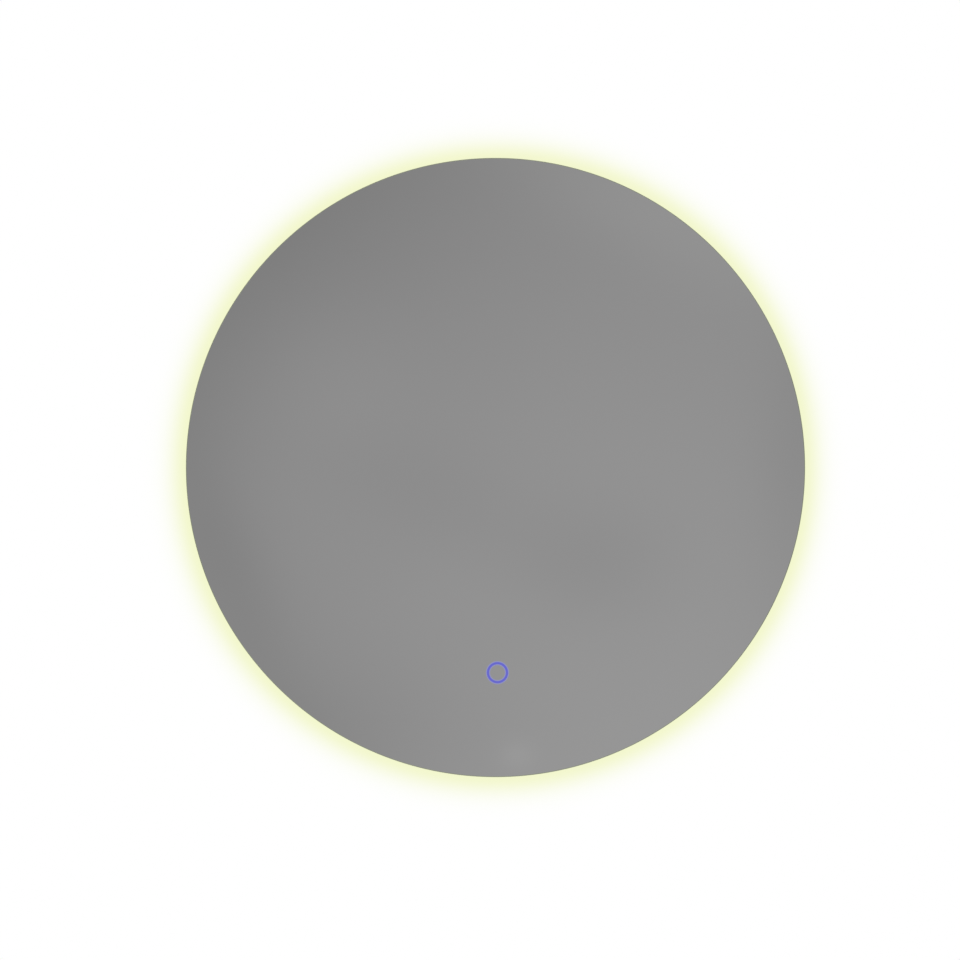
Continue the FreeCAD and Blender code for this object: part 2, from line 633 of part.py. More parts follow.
def hanger_bracket():
    item = new_body("hanger_bracket", z=0)
    lip_rear = HANGER_LIP_FRONT - dims.rail_thick
    shelf_top = HANGER_SHELF + dims.rail_thick
    web_rear = PLATE_REAR - dims.rail_thick
    bar(item, -dims.hanger_width / 2, dims.hanger_width, profile([
        (PLATE_REAR, HANGER_SHELF), (HANGER_LIP_FRONT, HANGER_SHELF), (HANGER_LIP_FRONT, RAIL_SHELF),
        (lip_rear, RAIL_SHELF), (lip_rear, shelf_top), (web_rear, shelf_top),
        (web_rear, HANGER_TOP), (PLATE_REAR, HANGER_TOP)]))
    recess(item, web_rear, dims.rail_thick, *[
        (circle, side * x, RIVET_Z, (dims.rivet_dia + dims.screw_play) / 2)
        for x in RIVET_X for side in (-1, 1)])
    bends = ((HANGER_LIP_FRONT, HANGER_SHELF, 1), (web_rear, shelf_top, 1),
             (lip_rear, shelf_top, 0), (PLATE_REAR, HANGER_SHELF, 0))
    for inside, radius in ((1, dims.bend_radius), (0, dims.bend_radius + dims.rail_thick)):
        places = [(depth.value, height.value) for depth, height, side in bends if side == inside]
        dressed(item, "Fillet", radius, lambda edge: any(
            math.hypot(edge.CenterOfMass.y + depth, edge.CenterOfMass.z - height) < 0.01
            for depth, height in places))


def hanger_rivets():
    item = new_body("hanger_rivets", z=0)
    seat = PLATE_REAR - dims.rail_thick
    places = [(side * x, RIVET_Z) for x in RIVET_X for side in (-1, 1)]
    head = dims.rivet_head
    for rear, depth, across in ((seat, PLATE_FRONT - seat, dims.rivet_dia),
                                (seat - head, head, dims.rivet_head_dia),
                                (PLATE_FRONT, head, dims.rivet_tail_dia)):
        slab(item, rear, depth, *[(circle, x, z, across / 2) for x, z in places])
    dressed(item, "Fillet", head * 0.7, lambda edge: abs(edge.CenterOfMass.y + (seat - head).value) < 0.01)


# ---- ring frame ----------------------------------------------------------------------------------

def joiner_hole():
    return circle, -JOINER_DEPTH, 0, (dims.joiner_screw_dia + dims.screw_play) / 2


def frame_ring():
    """The rolled section, open at a seam on the right-hand side."""
    item = new_body("frame_ring")
    front_inner = WEB_OUTSIDE - dims.flange_in
    rear_flange = WEB_OUTSIDE + dims.wall_flange
    channel_back = CHANNEL_REAR - dims.frame_wall
    flange_front = FRAME_REAR + dims.frame_wall
    spun(item, [
        (front_inner, FRAME_FRONT), (LIP_RADIUS, FRAME_FRONT), (LIP_RADIUS, CHANNEL_FRONT),
        (WEB_OUTSIDE, CHANNEL_FRONT), (WEB_OUTSIDE, CHANNEL_REAR), (LIP_RADIUS, CHANNEL_REAR),
        (LIP_RADIUS, channel_back), (WEB_OUTSIDE, channel_back), (WEB_OUTSIDE, flange_front),
        (rear_flange, flange_front), (rear_flange, FRAME_REAR), (WEB_INSIDE, FRAME_REAR),
        (WEB_INSIDE, LEDGE_REAR), (LEDGE_RADIUS, LEDGE_REAR), (LEDGE_RADIUS, LEDGE_FRONT),
        (WEB_INSIDE, LEDGE_FRONT), (WEB_INSIDE, CHANNEL_FRONT), (front_inner, CHANNEL_FRONT)])
    section_reach = dims.lip_out + dims.flange_in
    recess(item, FRAME_REAR, dims.frame_depth, (
        rectangle, LIP_RADIUS - section_reach / 2, 0, section_reach * 1.1, dims.seam_gap))
    pilot = recess(item, LEDGE_REAR, dims.ledge_thick, (circle, *PLATE_SCREW, SCREW_HOLE))
    around(item, [pilot], dims.plate_screw_count)
    shaft(item, -WEB_OUTSIDE - dims.frame_wall, dims.frame_wall * 3, (circle, 0, -BUSH_DEPTH, BUSH_HOLE))
    bore(item, WEB_INSIDE - dims.frame_wall, dims.frame_wall * 3, *[
        (circle, -JOINER_DEPTH, WEB_INSIDE * sine(arc_degrees(place, WEB_INSIDE)),
         dims.joiner_screw_dia / 2 + dims.screw_play) for place in JOINER_PLACES])


def frame_joiner():
    """A curved piece inside the ring, across its seam."""
    item = new_body("frame_joiner", turn=-JOINER_START)
    spun(item, ring_section(WEB_INSIDE - dims.joiner_thick, WEB_INSIDE,
                            JOINER_DEPTH - dims.joiner_width / 2, JOINER_DEPTH + dims.joiner_width / 2),
         angle=arc_degrees(dims.joiner_length / 2, WEB_INSIDE) + JOINER_START,
         before=arc_degrees(dims.joiner_length / 2, WEB_INSIDE) - JOINER_START)
    hole = bore(item, WEB_INSIDE - dims.joiner_thick * 2, dims.joiner_thick * 3, joiner_hole())
    around(item, [hole], dims.joiner_screw_count, JOINER_START * 2)


def joiner_screws():
    """Short screws from inside the ring, through joiner and web."""
    item = new_body("joiner_screws", turn=-JOINER_START)
    seat = WEB_INSIDE - dims.joiner_thick - dims.screw_play / 4
    head = dims.joiner_screw_dia * 0.6
    shank = bar(item, seat, WEB_OUTSIDE - seat, (circle, -JOINER_DEPTH, 0, dims.joiner_screw_dia / 2))
    top = bar(item, seat - head, head, (circle, -JOINER_DEPTH, 0, dims.joiner_screw_dia))
    mark = bore(item, seat - head, head / 2, (
        cross, -JOINER_DEPTH, 0, dims.joiner_screw_dia, dims.joiner_screw_dia / 4))
    around(item, [shank, top, mark], dims.joiner_screw_count, JOINER_START * 2)


def frame_bush():
    """Rubber bush where the strip's lead goes through the web, at the bottom."""
    item = new_body("frame_bush")
    wall = dims.frame_wall
    column(item, -WEB_OUTSIDE, wall + dims.screw_play, (
        circle, 0, -BUSH_DEPTH, BUSH_HOLE - dims.screw_play / 2))
    column(item, -WEB_INSIDE + dims.screw_play, wall, (circle, 0, -BUSH_DEPTH, BUSH_HOLE + dims.bush_flange))
    shaft(item, -WEB_OUTSIDE - wall, 4 * wall, (circle, 0, -BUSH_DEPTH, LEAD_HOLE))


def wall_bumpers():
    """Rubber pads on the rear flange."""
    item = new_body("wall_bumpers", turn=180 / dims.bumper_count)
    inner = WEB_OUTSIDE + dims.bumper_inset
    outer = WEB_OUTSIDE + dims.wall_flange - dims.bumper_inset
    pad = spun(item, ring_section(inner, outer, 0, FRAME_REAR), arc_degrees(dims.bumper_length, WEB_OUTSIDE))
    around(item, [pad], dims.bumper_count)


# ---- halo light ----------------------------------------------------------------------------------

def led_strip():
    """The flexible board lies round the web; its ends face each other at the bottom."""
    item = new_body("led_strip", turn=-90)
    spun(item, ring_section(WEB_OUTSIDE, STRIP_FACE, CHANNEL_MIDDLE - dims.strip_width / 2,
                            CHANNEL_MIDDLE + dims.strip_width / 2), STRIP_ANGLE)


def on_strip(label, count, length, width, height, shift):
    """Small blocks spread evenly round the strip."""
    step = STRIP_ANGLE / count
    item = new_body(label, turn=90 + (360 - STRIP_ANGLE) / 2 + step * shift)
    block = bar(item, STRIP_FACE, height, (rectangle, -CHANNEL_MIDDLE, 0, width, length))
    around(item, [block], count, STRIP_ANGLE - step)


def led_chips():
    on_strip("led_chips", dims.led_count, dims.led_length, dims.led_width, dims.led_height, 0.5)


def strip_resistors():
    """One between every third pair of lamps."""
    on_strip("strip_resistors", dims.resistor_count, dims.resistor_length, dims.resistor_width,
             dims.resistor_height, 1 / 3)


def strip_connector():
    """Sits over the bush and grips the strip's right-hand end."""
    item = new_body("strip_connector", turn=90)
    past_bush = dims.strip_gap / 5
    spun(item, ring_section(STRIP_FACE, STRIP_FACE + dims.connector_height,
                            CHANNEL_REAR + BUSH_PLAY * 2, CHANNEL_MIDDLE + dims.strip_width / 2),
         angle=arc_degrees(past_bush, WEB_OUTSIDE),
         before=arc_degrees(dims.connector_length - past_bush, WEB_OUTSIDE))


def led_diffuser():
    """Opal cover that closes the light channel."""
    item = new_body("led_diffuser")
    leg_end = LIP_RADIUS - dims.diffuser_leg
    crown = LIP_RADIUS + dims.diffuser_bulge
    wall = dims.diffuser_wall
    slope = dims.channel_width / 4
    spun(item, [
        (leg_end, CHANNEL_FRONT), (LIP_RADIUS, CHANNEL_FRONT), (crown, CHANNEL_FRONT - slope),
        (crown, CHANNEL_REAR + slope), (LIP_RADIUS, CHANNEL_REAR), (leg_end, CHANNEL_REAR),
        (leg_end, CHANNEL_REAR + wall), (LIP_RADIUS - wall / 2, CHANNEL_REAR + wall),
        (crown - wall, CHANNEL_REAR + slope + wall / 2), (crown - wall, CHANNEL_FRONT - slope - wall / 2),
        (LIP_RADIUS - wall / 2, CHANNEL_FRONT - wall), (leg_end, CHANNEL_FRONT - wall)])


# ---- pane ----------------------------------------------------------------------------------------

def mirror_glass():
    """The pane, with its edges ground and a shallow ring etched over the touch switch."""
    item = new_body("mirror_glass")
    slab(item, GLASS_BACK, dims.glass_thick, (circle, 0, 0, dims.mirror_dia / 2))
    dressed(item, "Chamfer", dims.edge_chamfer, lambda edge: len(edge.Vertexes) == 1)
    recess(item, GLASS_FRONT - dims.ring_etch, dims.ring_etch,
           (circle, dims.ring_x, -RING_DROP, RING_OUTER),
           (circle, dims.ring_x, -RING_DROP, RING_INNER))


def silver_backing():
    """The reflecting layer, with a ring-shaped window over the touch switch."""
    item = new_body("silver_backing")
    slab(item, TAPE_FRONT, dims.backing_thick,
         (circle, 0, 0, dims.mirror_dia / 2 - dims.backing_inset),
         (circle, dims.ring_x, -RING_DROP, RING_OUTER + WINDOW_PLAY),
         (circle, dims.ring_x, -RING_DROP, RING_INNER - WINDOW_PLAY))


def bonding_tape():
    item = new_body("bonding_tape")
    middle = WEB_OUTSIDE - (dims.flange_in - dims.lip_out) / 2
    half_width = (dims.flange_in + dims.lip_out) / 2 - dims.tape_inset
    slab(item, FRAME_FRONT, dims.tape_thick,
         (circle, 0, 0, middle + half_width), (circle, 0, 0, middle - half_width))


# ---- back plate ----------------------------------------------------------------------------------

def straight_beads(inset):
    """The two straight beads, drawn smaller by the inset on every side."""
    return [(slot, 0, -dims.bead_drop - row * dims.bead_pitch,
             dims.bead_length - 2 * inset, dims.bead_width - 2 * inset) for row in (0, 1)]


def round_bead(inset):
    half_width = dims.bead_width / 2 - inset
    return [(circle, 0, 0, BEAD_RADIUS + half_width), (circle, 0, 0, BEAD_RADIUS - half_width)]


def chassis_plate():
    item = new_body("chassis_plate")
    wall = dims.plate_thick
    slab(item, PLATE_REAR, wall, (circle, 0, 0, PLATE_RADIUS))
    slab(item, PLATE_REAR - dims.bead_height, dims.bead_height, *round_bead(0), *straight_beads(0))
    recess(item, PLATE_REAR - dims.bead_height + wall, dims.bead_height, *round_bead(wall),
           *straight_beads(wall))
    edge_hole = recess(item, PLATE_REAR, wall, (circle, *PLATE_SCREW, SCREW_HOLE + dims.screw_play))
    around(item, [edge_hole], dims.plate_screw_count)
    recess(item, PLATE_REAR, wall,
           *[(circle, x, z, SCREW_HOLE) for x, z in driver_screw_places() + box_screw_places()],
           *[(circle, side * x, RIVET_Z + RAIL_RISE, (dims.rivet_dia + dims.screw_play) / 2)
             for x in RIVET_X for side in (-1, 1)],
           (circle, dims.earth_x, -dims.earth_drop, SCREW_HOLE),
           *[(circle, x, -RING_DROP, GROMMET_HOLE) for x in GROMMET_X])


def plate_seal():
    item = new_body("plate_seal")
    slab(item, PLATE_FRONT, dims.seal_thick, (circle, 0, 0, PLATE_RADIUS), (circle, 0, 0, LEDGE_RADIUS))
    hole = recess(item, PLATE_FRONT, dims.seal_thick, (circle, *PLATE_SCREW, SCREW_HOLE))
    around(item, [hole], dims.plate_screw_count)


def plate_screws():
    item = new_body("plate_screws")
    seat = PLATE_REAR - dims.screw_head
    past_ledge = dims.screw_tip / 2
    shank = slab(item, PLATE_REAR, LEDGE_FRONT + past_ledge - PLATE_REAR, (circle, *PLATE_SCREW, SHANK))
    head = slab(item, seat, dims.screw_head, (circle, *PLATE_SCREW, HEAD))
    mark = recess(item, seat, dims.screw_head / 2, (cross, *PLATE_SCREW, HEAD, HEAD / 4))
    around(item, [shank, head, mark], dims.plate_screw_count)


def plate_grommets():
    """Two rubber grommets for the low-voltage leads, either side of the touch switch."""
    item = new_body("plate_grommets")
    flange = dims.plate_thick * 1.2
    level = -RING_DROP
    slab(item, PLATE_REAR, dims.plate_thick, *[
        (circle, x, level, GROMMET_HOLE - dims.screw_play / 2) for x in GROMMET_X])
    for rear in (PLATE_REAR - flange, PLATE_FRONT):
        slab(item, rear, flange, *[
            (circle, x, level, GROMMET_HOLE + dims.grommet_flange) for x in GROMMET_X])
    recess(item, PLATE_REAR - flange, dims.plate_thick + 2 * flange, *[
        (circle, x, level, dims.grommet_bore / 2) for x in GROMMET_X])


def rating_label():
    """A blank metal plate."""
    item = new_body("rating_label")
    slab(item, PLATE_REAR - dims.label_thick, dims.label_thick, (
        rectangle, dims.driver_x, -dims.label_drop, dims.label_width, dims.label_height))
    dressed(item, "Fillet", dims.label_corner, runs_in_depth)


# ---- driver --------------------------------------------------------------------------------------

def driver_screw_places():
    return [(dims.driver_x + x, dims.driver_z + z) for x, z in corners(EAR_HOLE_X, EAR_HOLE_Z)]


def driver_inside():
    return (rectangle, 0, 0, dims.driver_length - 2 * dims.driver_wall,
            dims.driver_height - 2 * dims.driver_wall)


def driver_base():
    """Lower half of the case, with an ear at each end."""
    item = new_body("driver_base", x=dims.driver_x, z=AXIS_Z + dims.driver_z)
    slab(item, DRIVER_PARTING, dims.driver_base_depth, (
        rectangle, 0, 0, dims.driver_length, dims.driver_height))
    dressed(item, "Fillet", dims.driver_wall * 1.6, runs_in_depth)
    recess(item, DRIVER_PARTING, dims.driver_base_depth - dims.driver_wall, driver_inside())
    slab(item, PLATE_REAR - dims.driver_ear_thick, dims.driver_ear_thick, *[
        (rectangle, side * EAR_HOLE_X, 0, dims.driver_ear, dims.driver_height - 2 * dims.driver_ear_inset)
        for side in (-1, 1)])
    recess(item, PLATE_REAR - dims.driver_ear_thick, dims.driver_ear_thick, *[
        (circle, x, z, SCREW_HOLE + dims.screw_play) for x, z in corners(EAR_HOLE_X, EAR_HOLE_Z)])
    slab(item, DRIVER_PARTING, DRIVER_FLOOR - DRIVER_PARTING, *[
        (circle, x, z, dims.boss_dia / 2) for x, z in corners(DRIVER_BOSS_X, DRIVER_BOSS_Z)])
    recess(item, DRIVER_PARTING, dims.driver_base_depth / 2, *[
        (circle, x, z, COVER_SCREW + dims.screw_play / 2) for x, z in corners(DRIVER_BOSS_X, DRIVER_BOSS_Z)])
    slab(item, DRIVER_BOARD_FRONT, dims.driver_post, *[
        (circle, x, z, dims.boss_dia / 2) for x, z in corners(DRIVER_BOARD_X / 3, dims.driver_height / 4)])
    bore(item, -dims.driver_length, 2 * dims.driver_length, (
        circle, -DRIVER_LEAD_DEPTH, 0, BUSHING_HOLE + dims.screw_play / 2))


def driver_cover():
    """Upper half of the case, open toward the base."""
    item = new_body("driver_cover", x=dims.driver_x, z=AXIS_Z + dims.driver_z)
    slab(item, DRIVER_REAR, dims.driver_cover_depth, (
        rectangle, 0, 0, dims.driver_length, dims.driver_height))
    dressed(item, "Fillet", dims.driver_wall * 1.6, runs_in_depth)
    recess(item, DRIVER_REAR + dims.driver_wall, dims.driver_cover_depth - dims.driver_wall, driver_inside())
    slab(item, DRIVER_REAR + dims.driver_wall, dims.driver_cover_depth - dims.driver_wall, *[
        (circle, x, z, dims.boss_dia / 2) for x, z in corners(DRIVER_BOSS_X, DRIVER_BOSS_Z)])
    recess(item, DRIVER_REAR, dims.driver_cover_depth, *[
        (circle, x, z, COVER_SCREW + dims.screw_play / 2) for x, z in corners(DRIVER_BOSS_X, DRIVER_BOSS_Z)])
    recess(item, DRIVER_REAR, COVER_HEAD, *[
        (circle, x, z, COVER_SCREW * 1.9) for x, z in corners(DRIVER_BOSS_X, DRIVER_BOSS_Z)])
    recess(item, DRIVER_REAR, dims.driver_wall / 3, *[
        (rectangle, dims.groove_pitch * (place - (dims.groove_count - 1) / 2), 0,
         dims.groove_width, dims.driver_height / 2) for place in range(round(dims.groove_count.value))])


def driver_cover_screws():
    """Heads sunk in the cover."""
    item = new_body("driver_cover_screws", x=dims.driver_x, z=AXIS_Z + dims.driver_z)
    screws(item, corners(DRIVER_BOSS_X, DRIVER_BOSS_Z), DRIVER_REAR + COVER_HEAD,
           DRIVER_PARTING + dims.driver_base_depth / 3, COVER_SCREW, COVER_SCREW * 1.8, COVER_HEAD * 0.85)


def driver_board():
    item = new_body("driver_board", x=dims.driver_x, z=AXIS_Z + dims.driver_z)
    slab(item, DRIVER_BOARD_REAR, dims.driver_board_thick, (
        rectangle, 0, 0, DRIVER_BOARD_X * 2, dims.driver_height - 3 * dims.driver_wall))


def driver_transformer():
    """Bobbin with the core round it, standing on the board."""
    item = new_body("driver_transformer", x=dims.driver_x, z=AXIS_Z + dims.driver_z)
    across = dims.driver_height / 2
    height = dims.transformer_height
    slab(item, DRIVER_BOARD_REAR - height, height, (rectangle, 0, 0, across * 1.1, across / 2))
    slab(item, DRIVER_BOARD_REAR - height * 0.8, height * 0.8, (rectangle, 0, 0, across * 0.8, across))


def driver_capacitors():
    item = new_body("driver_capacitors", x=dims.driver_x, z=AXIS_Z + dims.driver_z)
    height = dims.capacitor_height
    slab(item, DRIVER_BOARD_REAR - height, height, *[
        (circle, DRIVER_BOARD_X * 0.62, side * dims.driver_height / 5, height * 0.45) for side in (-1, 1)])
    low = height * 0.7
    slab(item, DRIVER_BOARD_REAR - low, low, *[
        (circle, -DRIVER_BOARD_X * share, dims.driver_height / 5, low * 0.4) for share in (0.4, 0.6, 0.8)])


def driver_screws():
    screws(new_body("driver_screws"), driver_screw_places(), PLATE_REAR - dims.driver_ear_thick, SCREW_TIP)


def lead_bushings():
    """Bushings where leads leave the driver and the terminal box."""
    item = new_body("lead_bushings")
    half_driver = dims.driver_length / 2
    box_left = dims.box_x - dims.box_width / 2
    flange = dims.bushing_wall
    for outer, side, depth, level, wall in (
            (dims.driver_x - half_driver, -1, DRIVER_LEAD_DEPTH, dims.driver_z, dims.driver_wall),
            (dims.driver_x + half_driver, 1, DRIVER_LEAD_DEPTH, dims.driver_z, dims.driver_wall),
            (box_left, -1, BOX_LEAD_DEPTH, dims.box_z + BOX_LEAD_Z, dims.box_wall)):
        bar(item, outer if side < 0 else outer - wall, wall, (circle, -depth, level, BUSHING_HOLE))
        bar(item, outer - flange if side < 0 else outer, flange, (circle, -depth, level, BUSHING_FLANGE))
        bore(item, outer - 2 * wall, 4 * wall, (circle, -depth, level, SUPPLY_HOLE))
    bottom = dims.box_z - dims.box_height / 2
    across = dims.box_x + BOX_EARTH_X
    column(item, bottom, dims.box_wall, (circle, across, -BOX_LEAD_DEPTH, BUSHING_HOLE))
    column(item, bottom - flange, flange, (circle, across, -BOX_LEAD_DEPTH, BUSHING_FLANGE))
    shaft(item, bottom - 2 * dims.box_wall, 4 * dims.box_wall, (circle, across, -BOX_LEAD_DEPTH, LEAD_HOLE))


# ---- mains terminals -----------------------------------------------------------------------------

def box_screw_places():
    return [(dims.box_x - BOX_SCREW_X, dims.box_z - BOX_SCREW_Z),
            (dims.box_x + BOX_SCREW_X, dims.box_z + BOX_SCREW_Z)]


def box_inside(inset):
    return (rectangle, 0, 0, dims.box_width - 2 * inset, dims.box_height - 2 * inset)


def knuckle(item, left, width, web_rear, web_front):
    """A hinge knuckle joined to the top edge by a web between two depths."""
    top = dims.box_height / 2
    bar(item, left, width, (rectangle, -(web_rear + web_front) / 2, (top + HINGE_Z) / 2,
                            web_front - web_rear, HINGE_Z - top))
    bar(item, left, width, (circle, -BOX_PARTING, HINGE_Z, dims.knuckle_dia / 2))
    bore(item, left, width, (circle, -BOX_PARTING, HINGE_Z, (dims.pin_dia + dims.pin_clear) / 2))


def terminal_box():
    """The fixed part, with the outer hinge knuckles and a bead for the snap tongue."""
    item = new_body("terminal_box", x=dims.box_x, z=AXIS_Z + dims.box_z)
    slab(item, BOX_PARTING, dims.box_base_depth, box_inside(0))
    dressed(item, "Fillet", dims.box_wall * 1.5, runs_in_depth)
    recess(item, BOX_PARTING, dims.box_base_depth - dims.box_wall, box_inside(dims.box_wall))
    recess(item, BOX_FLOOR, dims.box_wall, *[
        (circle, side * BOX_SCREW_X, side * BOX_SCREW_Z, SCREW_HOLE + dims.screw_play) for side in (-1, 1)])
    for left in (-dims.lid_knuckle / 2 - dims.knuckle_gap - dims.knuckle_length,
                 dims.lid_knuckle / 2 + dims.knuckle_gap):
        knuckle(item, left, dims.knuckle_length, BOX_PARTING, BOX_PARTING + dims.knuckle_dia / 2)
    bottom = -dims.box_height / 2
    bead = dims.tongue_gap * 0.75
    column(item, bottom - bead, bead + dims.box_wall / 2, (
        rectangle, 0, -TONGUE_WINDOW, dims.tongue_width * 0.4, BEAD_WIDTH))
    shaft(item, bottom - dims.box_wall, 3 * dims.box_wall, (
        circle, dims.gland_x, -GLAND_DEPTH, dims.gland_thread / 2 + dims.screw_play / 2))
    shaft(item, bottom - dims.box_wall, 3 * dims.box_wall, (
        circle, BOX_EARTH_X, -BOX_LEAD_DEPTH, BUSHING_HOLE + dims.screw_play / 2))
    bore(item, -dims.box_width / 2 - dims.box_wall, 3 * dims.box_wall, (
        circle, -BOX_LEAD_DEPTH, BOX_LEAD_Z, BUSHING_HOLE + dims.screw_play / 2))


def terminal_box_lid():
    """The hinged lid, with the middle knuckle and a windowed snap tongue."""
    item = new_body("terminal_box_lid", x=dims.box_x, z=AXIS_Z + dims.box_z)
    slab(item, BOX_REAR, dims.lid_depth, box_inside(0))
    dressed(item, "Fillet", dims.box_wall * 1.5, runs_in_depth)
    recess(item, BOX_REAR + dims.box_wall, dims.lid_depth - dims.box_wall, box_inside(dims.box_wall))
    knuckle(item, -dims.lid_knuckle / 2, dims.lid_knuckle, BOX_PARTING - dims.knuckle_dia / 2, BOX_PARTING)
    tongue_top = -dims.box_height / 2 - dims.tongue_gap
    thick = dims.box_wall * 0.8
    root = dims.tongue_gap + thick
    slab(item, BOX_REAR, dims.lid_depth * 0.8, (
        rectangle, 0, -dims.box_height / 2 - root / 2, dims.tongue_width, root))
    slab(item, BOX_REAR, dims.lid_depth + dims.tongue_reach, (
        rectangle, 0, tongue_top - thick / 2, dims.tongue_width, thick))
    shaft(item, tongue_top - 2 * thick, 3 * thick, (
        rectangle, 0, -TONGUE_WINDOW, dims.tongue_width * 0.5, BEAD_WIDTH * 1.6))


def lid_hinge_pin():
    item = new_body("lid_hinge_pin", x=dims.box_x, z=AXIS_Z + dims.box_z)
    length = dims.lid_knuckle + 2 * dims.knuckle_gap + 2 * dims.knuckle_length
    bar(item, -length / 2, length, (circle, -BOX_PARTING, HINGE_Z, dims.pin_dia / 2))
    for left in (-length / 2 - 1, length / 2):
        bar(item, left, 1, (circle, -BOX_PARTING, HINGE_Z, dims.pin_dia * 0.8))


def block_places():
    return [(place * dims.block_pitch, BLOCK_Z + side * dims.block_height / 4)
            for place in (-1, 0, 1) for side in (-1, 1)]


def terminal_block():
    """Three-way block with a clamp screw on each side of each way."""
    item = new_body("terminal_block", x=dims.box_x, z=AXIS_Z + dims.box_z)
    top = BOX_FLOOR - dims.block_depth
    slab(item, top, dims.block_depth, (rectangle, 0, BLOCK_Z, dims.block_width, dims.block_height))
    slab(item, top - dims.block_rib, dims.block_rib, *[
        (rectangle, place * dims.block_pitch, BLOCK_Z, dims.block_rib_width, dims.block_height)
        for place in (-1.5, -0.5, 0.5, 1.5)])
    recess(item, top, dims.block_depth / 2, *[(circle, x, z, BLOCK_SCREW + 0.1) for x, z in block_places()])
    shaft(item, BLOCK_Z - dims.block_height, 2 * dims.block_height, *[
        (circle, place * dims.block_pitch, -(BOX_FLOOR - dims.block_depth / 4), dims.block_pitch / 5)
        for place in (-1, 0, 1)])


def terminal_screws():
    item = new_body("terminal_screws", x=dims.box_x, z=AXIS_Z + dims.box_z)
    sink = dims.block_screw_sink
    head = BOX_FLOOR - dims.block_depth + sink
    slab(item, head, dims.block_depth / 2 - sink, *[(circle, x, z, BLOCK_SCREW) for x, z in block_places()])
    recess(item, head, sink, *[
        (rectangle, x, z, BLOCK_SCREW * 1.6, BLOCK_SCREW * 0.35) for x, z in block_places()])


def terminal_box_screws():
    screws(new_body("terminal_box_screws"), box_screw_places(), BOX_FLOOR, SCREW_TIP)


def gland_piece(label, pieces, bore_radius):
    """Part of the cord gland: (round or hexagon, size, bottom, height) stacked along its axis."""
    item = new_body(label, x=dims.box_x + dims.gland_x, z=AXIS_Z + GLAND_Z)
    for draw, size, bottom, height in pieces:
        column(item, bottom, height, (draw, 0, -GLAND_DEPTH, size))
    low = min(as_number(piece[2]) for piece in pieces)
    shaft(item, low - 1, dims.gland_thread * 4, (circle, 0, -GLAND_DEPTH, bore_radius))
    return item


def gland_body():
    gland_piece("gland_body", [
        (circle, dims.gland_thread / 2, 0, dims.box_wall + GLAND_NUT_HEIGHT + 1.5),
        (hexagon, dims.gland_flats, -GLAND_NUT_HEIGHT, GLAND_NUT_HEIGHT),
        (circle, dims.gland_thread / 2, -GLAND_NUT_HEIGHT - GLAND_TAIL, GLAND_TAIL)], dims.gland_bore / 2)


def gland_locknut():
    gland_piece("gland_locknut", [(hexagon, dims.gland_flats, dims.box_wall, GLAND_NUT_HEIGHT)],
                dims.gland_thread / 2 + dims.screw_play / 2)


def gland_seal():
    """Rubber ring squeezed between the gland's tail and the floor of its dome nut."""
    gland_piece("gland_seal", [
        (circle, dims.gland_thread / 2 - 0.2, -GLAND_NUT_HEIGHT - GLAND_TAIL - GLAND_SEAL, GLAND_SEAL)],
        dims.gland_bore / 2)


def gland_nut():
    """Dome nut below the gland body."""
    floor = GLAND_NUT_HEIGHT + GLAND_TAIL + GLAND_SEAL
    top = -GLAND_NUT_HEIGHT - dims.lead_clear
    bottom = -floor - dims.box_wall
    item = gland_piece("gland_nut", [
        (hexagon, dims.gland_flats, top - GLAND_TAIL, GLAND_TAIL),
        (circle, dims.gland_flats / 2, bottom, top - GLAND_TAIL - bottom)], dims.gland_bore / 2)
    shaft(item, -floor, floor, (circle, 0, -GLAND_DEPTH, dims.gland_thread / 2 + dims.screw_play / 2))


# ---- touch switch --------------------------------------------------------------------------------

def sensor_body(label):
    return new_body(label, x=dims.ring_x, z=AXIS_Z - RING_DROP)


def sensor_housing():
    """A cup that faces the pane, with a hole for a lead on each side."""
    item = sensor_body("sensor_housing")
    slab(item, SENSOR_REAR, dims.sensor_depth, (circle, 0, 0, dims.sensor_dia / 2))
    recess(item, SENSOR_REAR + dims.sensor_wall, dims.sensor_depth, (
        circle, 0, 0, dims.sensor_dia / 2 - dims.sensor_wall))
    post = dims.sensor_board_dia / 4
    slab(item, SENSOR_REAR + dims.sensor_wall, dims.sensor_post, *[
        (circle, x, z, dims.sensor_wall) for x, z in corners(post, post)])
    bore(item, -dims.sensor_dia, 2 * dims.sensor_dia, (circle, -SENSOR_LEAD_DEPTH, 0, LEAD_HOLE))


def sensor_foam():
    item = sensor_body("sensor_foam")
    slab(item, FRAME_FRONT, dims.tape_thick, (circle, 0, 0, dims.sensor_dia / 2),
         (circle, 0, 0, dims.sensor_dia / 2 - 3 * dims.sensor_wall))


def sensor_board():
    item = sensor_body("sensor_board")
    slab(item, SENSOR_BOARD_REAR, dims.sensor_board_thick, (circle, 0, 0, dims.sensor_board_dia / 2))


def sensor_leds():
    item = sensor_body("sensor_leds")
    lamp = slab(item, SENSOR_BOARD_FRONT, dims.sensor_led_height, (
        rectangle, dims.ring_radius, 0, dims.sensor_led, dims.sensor_led))
    around(item, [lamp], dims.sensor_led_count)


def sensor_light_guide():
    """Clear ring that carries the light through the window to the pane."""
    item = sensor_body("sensor_light_guide")
    rear = SENSOR_BOARD_FRONT + dims.sensor_led_height + dims.sensor_led_gap
    slab(item, rear, GLASS_BACK - rear, (circle, 0, 0, RING_OUTER), (circle, 0, 0, RING_INNER))


